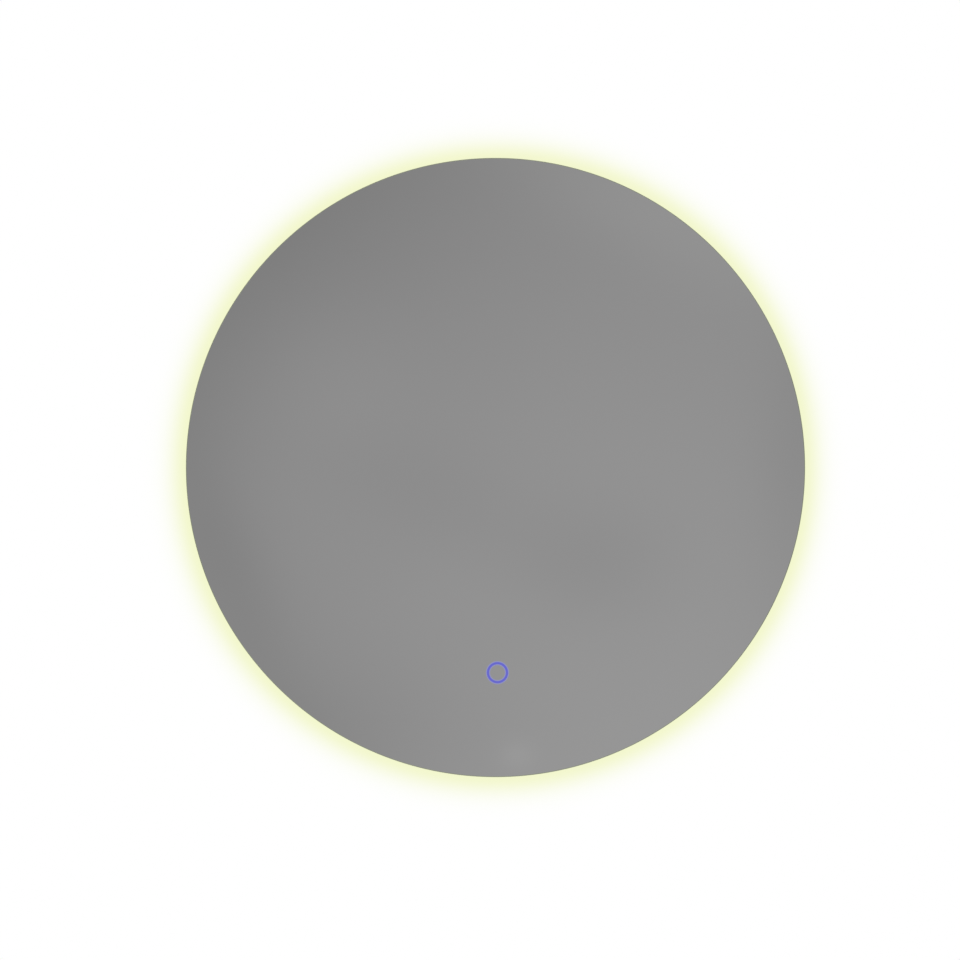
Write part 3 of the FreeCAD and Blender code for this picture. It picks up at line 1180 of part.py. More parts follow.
def touch_electrode():
    """Copper disc against the back of the pane, on a stem from the board."""
    item = sensor_body("touch_electrode")
    slab(item, TAPE_FRONT - dims.strip_thick, dims.strip_thick, (circle, 0, 0, dims.electrode_dia / 2))
    slab(item, SENSOR_BOARD_FRONT, TAPE_FRONT - SENSOR_BOARD_FRONT, (circle, 0, 0, dims.lead_dia / 2))


# ---- wiring --------------------------------------------------------------------------------------

def placed(x, z, depth):
    """A point from its place on the mirror, in the model's own frame."""
    return FreeCAD.Vector(as_number(x), -as_number(depth), as_number(z + AXIS_Z))


def on_plate(share, degrees, depth):
    """A stop of a route, by its share of the round bead's radius and its direction from +X."""
    turn = math.radians(degrees)
    return BEAD_RADIUS * (share * math.cos(turn)), BEAD_RADIUS * (share * math.sin(turn)), depth


def lead(label, diameter, route):
    """A lead along straight runs joined by arcs as large as the runs allow."""
    radius = as_number(diameter) / 2
    points = [placed(*stop) for stop in route]
    edges, radii = [], []
    start = points[0]
    for before, corner, after in zip(points, points[1:], points[2:]):
        arrive = (corner - before).normalize()
        leave = (after - corner).normalize()
        turn = arrive.getAngle(leave)
        run = min((corner - before).Length, (after - corner).Length)
        bend = BEND_SHARE * run / math.tan(turn / 2)
        radii.append(bend)
        first = corner - arrive * (BEND_SHARE * run)
        last = corner + leave * (BEND_SHARE * run)
        toward = (leave - arrive).normalize()
        middle = corner + toward * (bend / math.cos(turn / 2) - bend)
        edges.append(Part.LineSegment(start, first).toShape())
        edges.append(Part.Arc(first, middle, last).toShape())
        start = last
    edges.append(Part.LineSegment(start, points[-1]).toShape())
    path = Part.Wire(edges)
    section = Part.Wire(Part.Circle(points[0], points[1] - points[0], radius).toShape())
    item = doc.addObject("Part::Feature", label)
    item.Label = label
    item.Shape = path.makePipeShell([section], True, False)
    item.Placement = FreeCAD.Placement()
    parts.append(item)
    wanted = math.pi * radius ** 2 * path.Length
    print("%s: radii %s, volume %.3f of %.3f" % (
        label, ", ".join("%.1f" % bend for bend in radii), item.Shape.Volume, wanted))


def supply_link_lead():
    """From the terminal box to the driver."""
    box_end = dims.box_x - dims.box_width / 2
    driver_end = dims.driver_x + dims.driver_length / 2
    box_level = dims.box_z + BOX_LEAD_Z
    driver_level = dims.driver_z
    lead("supply_link_lead", dims.supply_lead_dia, [
        (box_end + LEAD_TAIL, box_level, BOX_LEAD_DEPTH),
        (box_end - 14, box_level, BOX_LEAD_DEPTH),
        (driver_end + 14, driver_level, DRIVER_LEAD_DEPTH),
        (driver_end - LEAD_TAIL, driver_level, DRIVER_LEAD_DEPTH)])


def output_route():
    """From the left end of the driver round to the left side of the touch switch."""
    driver_end = dims.driver_x - dims.driver_length / 2
    sensor_end = dims.ring_x - dims.sensor_dia / 2
    grommet = GROMMET_X[0]
    level = -RING_DROP
    return [
        (driver_end + LEAD_TAIL, dims.driver_z, DRIVER_LEAD_DEPTH),
        (driver_end - 21, dims.driver_z, PLATE_REAR - 6.5),
        on_plate(0.77, 179, PLATE_REAR - 3.2),
        on_plate(0.815, 195, PLATE_REAR - 2.8),
        on_plate(0.845, 211, PLATE_REAR - 2.6),
        on_plate(0.86, 229, PLATE_REAR - 2.7),
        on_plate(0.865, 244, PLATE_REAR - 3.4),
        (grommet - 17, level + 2, PLATE_REAR - 4.6),
        (grommet, level, PLATE_REAR - 5),
        (grommet, level, SENSOR_LEAD_DEPTH),
        (sensor_end + SENSOR_LEAD_TAIL, level, SENSOR_LEAD_DEPTH)]


def driver_output_lead():
    lead("driver_output_lead", dims.lead_dia, output_route())


def strip_lead():
    """From the right side of the touch switch through plate and ring to the strip's connector."""
    sensor_end = dims.ring_x + dims.sensor_dia / 2
    grommet = GROMMET_X[1]
    level = -RING_DROP
    lead("strip_lead", dims.lead_dia, [
        (sensor_end - SENSOR_LEAD_TAIL, level, SENSOR_LEAD_DEPTH),
        (grommet, level, SENSOR_LEAD_DEPTH),
        (grommet, level, BUSH_DEPTH),
        (grommet - 4, level - 16, BUSH_DEPTH),
        (grommet / 2, 30 - STRIP_FACE, BUSH_DEPTH),
        (0, 18 - STRIP_FACE, BUSH_DEPTH),
        (0, LEAD_END_PLAY - STRIP_FACE, BUSH_DEPTH)])


def earth_lead():
    """From the terminal box to the ring terminal on the plate."""
    across = dims.box_x + BOX_EARTH_X
    bottom = dims.box_z - dims.box_height / 2
    lead("earth_lead", dims.lead_dia, [
        (across, bottom + LEAD_TAIL, BOX_LEAD_DEPTH),
        (across, bottom - 8, BOX_LEAD_DEPTH),
        (dims.earth_x, bottom - 18, BARREL_DEPTH),
        (dims.earth_x, BARREL_TOP, BARREL_DEPTH)])


def earth_terminal():
    """Ring terminal: a flat ring under the screw and a barrel for the lead."""
    item = new_body("earth_terminal", x=dims.earth_x, z=AXIS_Z - dims.earth_drop)
    slab(item, PLATE_REAR - TERMINAL_THICK, TERMINAL_THICK, (circle, 0, 0, HEAD * 1.2), (
        circle, 0, 0, SCREW_HOLE))
    slab(item, PLATE_REAR - TERMINAL_THICK, TERMINAL_THICK, (
        rectangle, 0, HEAD * 1.6, BARREL_RADIUS * 1.6, HEAD))
    column(item, BARREL_TOP + dims.earth_drop - BARREL_LENGTH, BARREL_LENGTH, (
        circle, 0, -BARREL_DEPTH, BARREL_RADIUS))


def earth_screw():
    place = (dims.earth_x, -dims.earth_drop)
    screws(new_body("earth_screw"), [place], PLATE_REAR - TERMINAL_THICK, SCREW_TIP)


def cable_clips():
    """Blocks stuck to the plate, each holding the output lead in the middle of one of its runs."""
    route = [placed(*stop) for stop in output_route()]
    length = dims.clip_length.value
    width = dims.clip_width.value
    hole = as_number(LEAD_HOLE)
    front = as_number(PLATE_REAR)
    shapes = []
    for start, end in list(zip(route, route[1:]))[2:6]:
        middle = (start + end) * 0.5
        along = end - start
        height = front + middle.y + hole + dims.clip_roof.value
        block = Part.makeBox(length, height, width, FreeCAD.Vector(-length / 2, 0, -width / 2))
        tilt = math.degrees(math.atan2(-along.z, along.x))
        block.Placement = FreeCAD.Placement(
            FreeCAD.Vector(middle.x, -front, middle.z), FreeCAD.Rotation(FreeCAD.Vector(0, 1, 0), tilt))
        tunnel = Part.makeCylinder(hole, 4 * length, middle - along.normalize() * (2 * length), along)
        shapes.append(block.cut(tunnel))
    item = doc.addObject("Part::Feature", "cable_clips")
    item.Label = "cable_clips"
    item.Shape = Part.makeCompound(shapes)
    item.Placement = FreeCAD.Placement()
    parts.append(item)


# ---- the whole mirror ----------------------------------------------------------------------------

PIECES = [
    wall_rail, hanger_bracket, hanger_rivets,
    frame_ring, frame_joiner, joiner_screws, frame_bush, wall_bumpers,
    led_strip, led_chips, strip_resistors, strip_connector, led_diffuser,
    mirror_glass, silver_backing, bonding_tape,
    chassis_plate, plate_seal, plate_screws, plate_grommets, rating_label,
    driver_base, driver_cover, driver_cover_screws, driver_board, driver_transformer,
    driver_capacitors, driver_screws, lead_bushings,
    terminal_box, terminal_box_lid, lid_hinge_pin, terminal_block, terminal_screws,
    terminal_box_screws, gland_body, gland_locknut, gland_seal, gland_nut,
    sensor_housing, sensor_foam, sensor_board, sensor_leds, sensor_light_guide, touch_electrode,
    supply_link_lead, driver_output_lead, strip_lead, earth_lead, earth_terminal, earth_screw, cable_clips,
]


def check_model():
    """Every object must have worked, every cut must have removed something."""
    for item in doc.Objects:
        if "Invalid" in item.State or "Error" in item.State:
            raise RuntimeError("%s failed: %s" % (item.Label, item.State))
    for cut in cuts:
        if cut.Shape.Volume > cut.BaseFeature.Shape.Volume - 1e-6:
            raise RuntimeError("%s removes nothing" % cut.Label)
    for item in parts:
        if item.Shape.isNull() or not item.Shape.isValid():
            raise RuntimeError("%s has no valid shape" % item.Label)


def main():
    for piece in PIECES:
        piece()
    doc.recompute()
    check_model()
    os.makedirs("parts", exist_ok=True)
    for item in parts:
        item.Shape.exportStep(os.path.join("parts", item.Label + ".step"))
    print("%d sub-parts written" % len(parts))


main()
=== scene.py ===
import json
import math

import bmesh
import bpy
from bpy.props import FloatProperty, FloatVectorProperty, IntProperty, PointerProperty
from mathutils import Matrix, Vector

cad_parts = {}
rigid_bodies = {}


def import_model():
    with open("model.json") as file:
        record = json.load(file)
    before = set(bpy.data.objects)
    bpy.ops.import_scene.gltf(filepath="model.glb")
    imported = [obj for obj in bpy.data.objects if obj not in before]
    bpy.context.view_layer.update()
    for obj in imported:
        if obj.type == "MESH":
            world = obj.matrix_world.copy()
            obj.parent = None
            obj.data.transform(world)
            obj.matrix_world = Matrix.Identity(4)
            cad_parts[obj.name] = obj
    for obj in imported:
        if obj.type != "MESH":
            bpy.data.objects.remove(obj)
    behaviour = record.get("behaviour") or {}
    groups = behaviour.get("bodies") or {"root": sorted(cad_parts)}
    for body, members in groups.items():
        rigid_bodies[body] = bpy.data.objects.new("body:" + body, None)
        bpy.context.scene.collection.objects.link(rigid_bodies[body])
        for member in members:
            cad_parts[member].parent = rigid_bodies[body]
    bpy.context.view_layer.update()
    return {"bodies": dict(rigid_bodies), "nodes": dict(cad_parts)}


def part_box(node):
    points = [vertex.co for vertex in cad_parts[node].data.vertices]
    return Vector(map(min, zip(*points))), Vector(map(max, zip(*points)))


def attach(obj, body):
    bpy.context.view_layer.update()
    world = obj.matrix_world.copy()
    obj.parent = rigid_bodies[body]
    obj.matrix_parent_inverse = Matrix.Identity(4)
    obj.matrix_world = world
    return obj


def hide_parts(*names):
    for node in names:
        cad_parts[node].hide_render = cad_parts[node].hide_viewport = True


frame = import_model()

# Dresses the lighted mirror: its pane with the lit touch ring, the ring frame that carries the halo
# light, the back plate with driver, terminal box and leads, and the rail that the mirror hangs on.
# The origin is on the wall between the rail's screw slots, +Y goes into the wall and +Z is up.
# Lengths are in metres.

bl_info = {
    "name": "Lighted Mirror",
    "version": (1, 0, 0),
    "blender": (4, 5, 0),
    "location": "View3D > Sidebar > Mirror",
    "description": "Dresses a round lighted bathroom mirror and sets the wall and light around it",
    "category": "Object",
}

MM = 0.001
HAIR = 0.02 * MM  # keeps two faces from lying in one plane
BODY_PREFIX = "body:"

PANE_LOW, PANE_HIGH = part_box("mirror_glass")
PANE_RADIUS = (PANE_HIGH.x - PANE_LOW.x) / 2
AXIS = Vector(((PANE_LOW.x + PANE_HIGH.x) / 2, 0, (PANE_LOW.z + PANE_HIGH.z) / 2))
GLASS_FRONT = PANE_LOW.y
GLASS_BACK = PANE_HIGH.y
GUIDE_LOW, GUIDE_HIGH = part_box("sensor_light_guide")
RING_CENTRE = Vector(((GUIDE_LOW.x + GUIDE_HIGH.x) / 2, 0, (GUIDE_LOW.z + GUIDE_HIGH.z) / 2))
RING_OUTER = (GUIDE_HIGH.x - GUIDE_LOW.x) / 2
FRAME_LOW, FRAME_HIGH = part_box("frame_ring")
LIP_RADIUS = (FRAME_HIGH.x - FRAME_LOW.x) / 2
BACKING_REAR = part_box("silver_backing")[1].y

SHARP_ANGLE = math.radians(35)  # edges that turn more are rounded
CREASE_ANGLE = math.radians(32)  # edges that turn less are shaded smooth
ARC_STEPS = 8  # straight steps in the arc of a small corner or dome
FLOOR_STEPS = 96
LAMP_STEP = math.radians(3.6452)  # from one lamp of the strip to the next; the top is between two

# The panel of the terminal box's lid: its border, depth and corner radius, and then how far its
# edge has gone in and down at each step, in depths.
PANEL_BORDER, PANEL_DEPTH, PANEL_CORNER = 5 * MM, 0.5 * MM, 3 * MM
PANEL_EDGE = [(0.0, 0.0), (0.15, 0.1), (0.4, 0.8), (0.7, 1.0)]

ORIGIN = (0.0, 0.0, 0.0)
BLACK = (0.0, 0.0, 0.0)
WHITE = (1.0, 1.0, 1.0)
DUST_ON_ZINC = (0.42, 0.41, 0.38)
DUST_ON_SATIN = (0.45, 0.44, 0.41)
DUST_ON_PLASTIC = (0.48, 0.47, 0.43)
DUST_ON_RUBBER = (0.30, 0.29, 0.27)
PAINT_SPECKS = (0.5, 0.5, 0.49)
TAPE_FOAM = (0.55, 0.55, 0.53)
STRIP_VARNISH = (0.75, 0.75, 0.72)
LAMP_PACKAGE = (0.80, 0.72, 0.30)
LAMP_LIGHT = (1.0, 0.95, 0.75)
RESISTOR_GLAZE = (0.02, 0.02, 0.02)
SWITCH_LAMP = (0.7, 0.7, 0.75)
SOLDER = (0.62, 0.60, 0.55)
PLATE_METAL = (0.72, 0.725, 0.73)
TRANSFORMER_TAPE = (0.62, 0.45, 0.06)
CAPACITOR_SLEEVE = (0.03, 0.035, 0.06)
PIN_STEEL = (0.66, 0.66, 0.67)
RIVET_METAL = (0.74, 0.74, 0.74)
TINNED_COPPER = (0.70, 0.69, 0.66)
SUPPLY_SHEATH = (0.78, 0.78, 0.75)
EARTH_GREEN = (0.03, 0.25, 0.06)
EARTH_YELLOW = (0.80, 0.66, 0.04)

# The grey room in front of the mirror. Across and up run from -1 to 1 over the pane as the camera
# sees it there. Each way has a slope and a bend; each patch is (middle, width, height, lean in
# degrees, level), and the last three are far out, where only an oblique view finds them.
ROOM_TONE = 0.3278
ROOM_ACROSS = (0.0295, -0.0284)
ROOM_UP = (-0.0369, -0.0148)
ROOM_LIMIT = 1.25
ROOM_PATCHES = [
    ((0.50, 0.87), 0.60, 0.19, -27, 0.0382),
    ((-0.59, 0.19), 0.30, 0.38, -23, 0.0274),
    ((0.07, -0.93), 0.06, 0.05, 0, 0.0230),
    ((-0.71, -0.94), 0.31, 0.60, 98, -0.0407),
    ((-0.71, 0.79), 0.60, 0.60, 0, -0.0182),
    ((0.33, -0.31), 0.25, 0.21, 10, -0.0198),
    ((1.00, 0.02), 0.16, 0.59, -5, -0.0251),
    ((-0.84, -0.37), 0.13, 0.42, 21, -0.0262),
    ((-0.22, -0.09), 0.60, 0.18, -21, -0.0152),
    ((9.0, 3.0), 3.2, 8.0, 0, 0.42),
    ((-9.5, 2.0), 3.4, 8.0, 0, 0.34),
    ((0.0, 11.0), 9.0, 3.6, 0, 0.45),
]


def display(red, green, blue):
    """The linear colour that shows as these 0 to 255 values."""
    def linear(level):
        share = level / 255
        return share / 12.92 if share <= 0.04045 else ((share + 0.055) / 1.055) ** 2.4
    return linear(red), linear(green), linear(blue)


def colour(name, description, default):
    return FloatVectorProperty(
        name=name, description=description, default=default, subtype="COLOR", min=0.0, max=1.0)


def length(name, description, default):
    return FloatProperty(
        name=name, description=description, default=default, subtype="DISTANCE", unit="LENGTH")


def number(name, description, default):
    return FloatProperty(name=name, description=description, default=default)


# ---- settings ----

class PaneSettings(bpy.types.PropertyGroup):
    arris: length("Arris", "Width of the ground edges of the pane", 0.8 * MM)
    etch: length("Etching", "Depth of the etched touch ring", 0.15 * MM)
    ring_width: length("Touch ring width", "Width of the lit ring", 2.4 * MM)
    steps: IntProperty(
        name="Rim steps", description="Straight steps round the rim", default=512, min=64)
    silver: colour("Silver", "Tint of what the mirror reflects", (0.866, 0.862, 0.862))
    # The ground arris colour is partly the glass's own greenish grey and partly the halo light's
    # yellow, painted in.
    ground: colour("Ground arris", "Colour of the narrow ground arris", (0.262, 0.287, 0.195))
    edge: colour("Polished edge", "Colour of the glass seen through its edge", (0.17, 0.27, 0.19))
    paint: colour("Backing paint", "Paint on the back of the silver", (0.27, 0.285, 0.285))
    sealant: colour("Sealant", "Bead between ring frame and pane", (0.62, 0.62, 0.60))
    touch_core: colour("Touch light", "Middle of the lit ring", display(103, 103, 207))
    touch_edge: colour("Touch light edge", "Edges of the lit ring", display(124, 127, 202))
    # The touch glow is painted light: blue emission on the mirror's face beside the lit ring.
    touch_glow: colour("Touch glow", "Light that spreads beside the ring", (0.004, 0.014, 0.30))
    glow_reach: length("Glow reach", "How far that light spreads", 1.3 * MM)


class HaloSettings(bpy.types.PropertyGroup):
    cover: colour("Opal cover", "Light of the opal cover", (0.985, 0.98, 0.77))
    cover_strength: number("Cover strength", "Brightness of the opal cover", 0.80)
    # The wall's glow is painted light: emission laid on the wall by distance from the mirror's
    # axis, not light cast by the strip.
    wall_tint: colour("Wall tint", "Glow on the wall at the rim", display(243, 247, 206))
    wall_reach: length("Wall reach", "How far the glow spreads past the rim", 17.2 * MM)
    wall_fall: number("Wall fall", "How sharply the glow ends", 1.8)
    wall_radius: length("Wall radius", "Where the glow starts to fade on the wall", 305.8 * MM)
    wall_near: colour("Wall near", "Glow on the wall close to the cover", display(254, 253, 230))


class FinishSettings(bpy.types.PropertyGroup):
    zinc: colour("Galvanised steel", "Back plate, rail and bracket", (0.60, 0.62, 0.63))
    aluminium: colour("Anodised aluminium", "Ring frame", (0.74, 0.745, 0.75))
    screw: colour("Screw steel", "Zinc-plated screws", (0.62, 0.62, 0.60))
    brass: colour("Brass", "Terminal and earth screws", (0.72, 0.53, 0.25))
    copper: colour("Copper", "Touch electrode", (0.80, 0.42, 0.26))
    case: colour("Driver case", "White moulded case", (0.80, 0.80, 0.77))
    box: colour("Terminal box", "Pale grey moulded box", (0.64, 0.655, 0.655))
    nylon: colour("Nylon", "Clips, block and connector", (0.82, 0.81, 0.74))
    gland: colour("Gland", "Dark cord gland", (0.045, 0.045, 0.048))
    rubber: colour("Rubber", "Pads, grommets and bushings", (0.030, 0.030, 0.032))
    foam: colour("Foam", "Plate seal and switch foam", (0.085, 0.085, 0.090))
    board: colour("Circuit board", "Green boards", (0.018, 0.12, 0.045))
    lead: colour("Lead", "Sheath of the low-voltage leads", (0.70, 0.70, 0.68))


class StageSettings(bpy.types.PropertyGroup):
    wall_size: length("Wall size", "Width and height of the wall", 2.6)
    wall_gap: length("Wall gap", "Wall behind the rail", 1.0 * MM)
    floor_drop: length("Floor drop", "Floor below the screw slots", 1.2)
    floor_radius: length("Floor radius", "Reach of the floor", 1.7)
    lens: FloatProperty(name="Lens", description="Focal length in millimetres", default=85.0)
    camera_x: length("Camera across", "Camera from the middle of the mirror", -15.0 * MM)
    camera_y: length("Camera distance", "Camera in front of the wall", -2.2374)
    camera_z: length("Camera height", "Camera from the middle of the mirror", -12.1 * MM)
    fill: number("Fill light", "Soft light from all round", 0.55)
    key_power: number("Key lamp", "Power of the large lamp in front", 14.0)
    rear_power: number("Rear lamp", "Power of the large lamp behind", 34.0)


SETTINGS = {
    "mirror_pane": PaneSettings,
    "mirror_halo": HaloSettings,
    "mirror_finish": FinishSettings,
    "mirror_stage": StageSettings,
}


# ---- node trees ----

def darker(tint, share):
    return tuple(level * share for level in tint)


class Value:
    """A number in a shader; sums with it add the nodes that work them out."""

    def __init__(self, tree, socket):
        self.tree = tree
        self.socket = socket

    def __add__(self, other):
        return self.tree.math("ADD", self, other)

    def __sub__(self, other):
        return self.tree.math("SUBTRACT", self, other)

    def __mul__(self, other):
        return self.tree.math("MULTIPLY", self, other)

    def __truediv__(self, other):
        return self.tree.math("DIVIDE", self, other)

    def __abs__(self):
        return self.tree.math("ABSOLUTE", self)


class Tree:
    """Short ways to add and join shader nodes."""

    def __init__(self, tree):
        self.tree = tree

    def add(self, kind, inputs=None, **settings):
        node = self.tree.nodes.new("ShaderNode" + kind)
        for name, value in settings.items():
            setattr(node, name, value)
        for name, value in (inputs or {}).items():
            self.feed(node.inputs[name], value)
        return node

    def feed(self, socket, value):
        """Links a socket to an output, or sets it to a constant."""
        if isinstance(value, Value):
            value = value.socket
        if isinstance(value, bpy.types.NodeSocket):
            self.tree.links.new(value, socket)
        elif socket.type == "RGBA":
            socket.default_value = (*value, 1.0)
        else:
            socket.default_value = value

    def values(self, outputs):
        return [Value(self, socket) for socket in outputs]

    def named(self, outputs):
        return {socket.name: Value(self, socket) for socket in outputs}

    def math(self, operation, *inputs, clamp=False):
        node = self.add("Math", dict(enumerate(inputs)), operation=operation, use_clamp=clamp)
        return Value(self, node.outputs[0])

    def vector(self, operation, *inputs):
        node = self.add("VectorMath", dict(enumerate(inputs)), operation=operation)
        if operation in ("DOT_PRODUCT", "LENGTH"):
            return Value(self, node.outputs["Value"])
        return node.outputs["Vector"]

    def split(self, vector):
        return self.values(self.add("SeparateXYZ", {0: vector}).outputs)

    def join(self, x, y, z):
        return self.add("CombineXYZ", {"X": x, "Y": y, "Z": z}).outputs[0]

    def mix(self, factor, first, second):
        """A number between the first and the second."""
        return Value(self, self.add("Mix", {0: factor, "A": first, "B": second}).outputs[0])

    def blend(self, factor, first, second):
        """A colour between the first and the second."""
        return self.add("Mix", {0: factor, 6: first, 7: second}, data_type="RGBA").outputs[2]

    def shades(self, factor, tint, first, second):
        """A colour between two shades of a tint."""
        return self.blend(factor, darker(tint, first), darker(tint, second))

    def spread(self, value, low, high, to_low=0.0, to_high=1.0, smooth=False):
        """A value between low and high, laid over another span."""
        node = self.add(
            "MapRange", {"Value": value, 1: low, 2: high, 3: to_low, 4: to_high},
            interpolation_type="SMOOTHSTEP" if smooth else "LINEAR")
        return Value(self, node.outputs[0])

    def noise(self, place, scale, detail=2.0, roughness=0.5):
        node = self.add(
            "TexNoise", {"Vector": place, "Scale": scale, "Detail": detail, "Roughness": roughness})
        return Value(self, node.outputs["Fac"])

    def object_place(self):
        return self.add("TexCoord").outputs["Object"]

    def object_normal(self):
        return self.split(self.add("TexCoord").outputs["Normal"])

    def effect(self, name, **inputs):
        """A shared effect placed with its own values; gives its outputs by name."""
        node = self.tree.nodes.new("ShaderNodeGroup")
        node.node_tree = EFFECTS[name]()
        for word, value in inputs.items():
            self.feed(node.inputs[word], value)
        return self.named(node.outputs)


EFFECTS = {}


def shared(inputs, outputs):
    """Names an effect that several materials use; it is built when the first of them asks for it.

    Inputs are (name, default), a vector where the default is a tuple, and outputs are names, in the
    order of what the effect gives.
    """
    def keep(fill):
        name = fill.__name__

        def fetch():
            group = bpy.data.node_groups.get(name)
            if group:
                return group
            group = bpy.data.node_groups.new(name, "ShaderNodeTree")
            for word, default in inputs:
                kind = "NodeSocketVector" if isinstance(default, tuple) else "NodeSocketFloat"
                socket = group.interface.new_socket(name=word, in_out="INPUT", socket_type=kind)
                socket.default_value = default
            for word in outputs:
                group.interface.new_socket(
                    name=word, in_out="OUTPUT", socket_type="NodeSocketFloat")
            tree = Tree(group)
            ends = group.nodes.new("NodeGroupOutput").inputs
            given = tree.named(group.nodes.new("NodeGroupInput").outputs)
            for socket, value in zip(ends, fill(tree, given)):
                tree.feed(socket, value)
            return group

        EFFECTS[name] = fetch
        return fetch
    return keep


@shared([("Centre", ORIGIN)], ["Turn", "Radius", "Depth"])
def axis_place(tree, given):
    """Where a point lies round an axis along Y; its turn is 0 at the top and 1 at the bottom."""
    across, depth, up = tree.split(tree.vector("SUBTRACT", tree.object_place(), given["Centre"]))
    turn = abs(tree.math("ARCTAN2", across, up)) / math.pi
    return turn, tree.math("SQRT", across * across + up * up), depth


@shared([("Place", ORIGIN), ("Lines", 6000.0), ("Length", 60.0)], ["Tone", "Height"])
def brushed(tree, given):
    """Fine parallel lines, long in the first direction of the place given."""
    scale = tree.join(given["Length"], given["Lines"], given["Lines"])
    place = tree.vector("MULTIPLY", given["Place"], scale)
    fine = tree.noise(place, 1.0, 3.0, 0.6)
    return fine * 0.6 + tree.noise(place, 0.12) * 0.4, fine


@shared([("Size", 8 * MM), ("Seed", 0.0)], ["Tone", "Gloss", "Height"])
def spangle(tree, given):
    """The crystals of hot-dip zinc: each leans its own way and is feathered in its own line."""
    place = tree.object_place()
    bend = tree.add("TexNoise", {"Vector": place, "Scale": 350.0, "Detail": 2.0}).outputs["Color"]
    pushed = tree.vector("MULTIPLY_ADD", bend, (2.2 * MM, 2.2 * MM, 2.2 * MM), place)
    shifted = tree.vector("ADD", pushed, given["Seed"])
    scale = tree.math("DIVIDE", 1.0, given["Size"])
    cells = tree.add("TexVoronoi", {"Vector": shifted, "Scale": scale}).outputs["Color"]
    tone, gloss, turn = tree.values(tree.add("SeparateColor", {0: cells}).outputs)
    turned_place = {"Vector": shifted, "Angle": turn * (2 * math.pi)}
    grown = tree.add("VectorRotate", turned_place, rotation_type="Y_AXIS").outputs[0]
    feathers = tree.noise(tree.vector("MULTIPLY", grown, (2200.0, 260.0, 200.0)), 1.0, 3.0, 0.6)
    lean = tree.vector("SUBTRACT", cells, (0.5, 0.5, 0.5))
    rise = tree.vector("DOT_PRODUCT", lean, shifted)
    return feathers * 0.55 + tone * 0.45, gloss, rise * 2200.0 + feathers


@shared([("Reach", 0.5 * MM), ("Grain", 900.0)], ["Mask"])
def edge_wear(tree, given):
    """Where the surface turns a sharp corner, broken up so that it looks rubbed."""
    soft = tree.add("Bevel", {"Radius": given["Reach"]}, samples=4).outputs[0]
    flat = tree.add("NewGeometry").outputs["Normal"]
    corner = tree.spread(tree.vector("DOT_PRODUCT", soft, flat), 0.995, 0.88)
    rubbed = tree.spread(tree.noise(tree.object_place(), given["Grain"], 3.0), 0.40, 0.62)
    return [tree.math("MULTIPLY", corner, rubbed, clamp=True)]


@shared([("Amount", 0.5), ("Patch", 40.0)], ["Mask"])
def dust(tree, given):
    """Fine dust on what faces up, thicker in patches, over a thin haze."""
    place = tree.object_place()
    lying = tree.spread(tree.object_normal()[2], 0.25, 1.0)
    patches = tree.spread(tree.noise(place, given["Patch"], 4.0, 0.6), 0.30, 0.70, 0.35)
    grain = tree.spread(tree.noise(place, 4000.0, 1.0), 0.35, 0.65, 0.6)
    film = lying * patches * grain + patches * 0.12
    return [tree.math("MULTIPLY", film, given["Amount"], clamp=True)]


@shared([("Grain", 2600.0), ("Flow", 35.0)], ["Tone", "Gloss", "Height"])
def moulded(tree, given):
    """Moulded plastic: a fine spark-eroded grain over faint flow marks."""
    place = tree.object_place()
    grain = tree.noise(place, given["Grain"], 2.0, 0.6)
    flow = tree.noise(place, given["Flow"], 3.0, 0.55)
    return flow, grain * 0.4 + flow * 0.6, grain


@shared([("Cells", 2500.0)], ["Tone", "Height"])
def open_cells(tree, given):
    """Foam and rubber skin: small pits between thin walls."""
    place = tree.object_place()
    cells = tree.add("TexVoronoi", {"Vector": place, "Scale": given["Cells"]})
    pits = Value(tree, cells.outputs["Distance"])
    return pits * 0.5 + tree.noise(place, 120.0, 3.0) * 0.5, pits


@shared([("Pitch", 3 * MM)], ["Tracks", "Pads"])
def tracks(tree, given):
    """Copper tracks and pads under the varnish of a circuit board."""
    across, _, up = tree.split(tree.object_place())
    flat = {"Vector": tree.join(across, up, 0.0), "Scale": tree.math("DIVIDE", 1.0, given["Pitch"])}
    bricks = tree.add("TexBrick", {
        **flat, "Mortar Size": 0.10, "Mortar Smooth": 0.0, "Brick Width": 2.2, "Row Height": 0.7})
    dots = tree.add("TexVoronoi", {**flat, "Randomness": 0.4}, voronoi_dimensions="2D")
    return bricks.outputs["Fac"], tree.spread(dots.outputs["Distance"], 0.20, 0.17)


@shared([("Across", 0.0), ("Up", 0.0), ("Middle", ORIGIN), ("Width", 0.3), ("Height", 0.3),
         ("Lean", 0.0), ("Level", 0.1)], ["Light"])
def soft_patch(tree, given):
    """A soft-edged patch of the room that the mirror shows, lighter or darker by its level."""
    middle_across, middle_up, _ = tree.split(given["Middle"])
    across = given["Across"] - middle_across
    up = given["Up"] - middle_up
    cosine = tree.math("COSINE", given["Lean"])
    sine = tree.math("SINE", given["Lean"])
    wide = tree.math("POWER", abs((across * cosine + up * sine) / given["Width"]), 2.0)
    high = tree.math("POWER", abs((up * cosine - across * sine) / given["Height"]), 2.0)
    return [tree.math("EXPONENT", (wide + high) * -1.0) * given["Level"]]


# ---- finishes ----

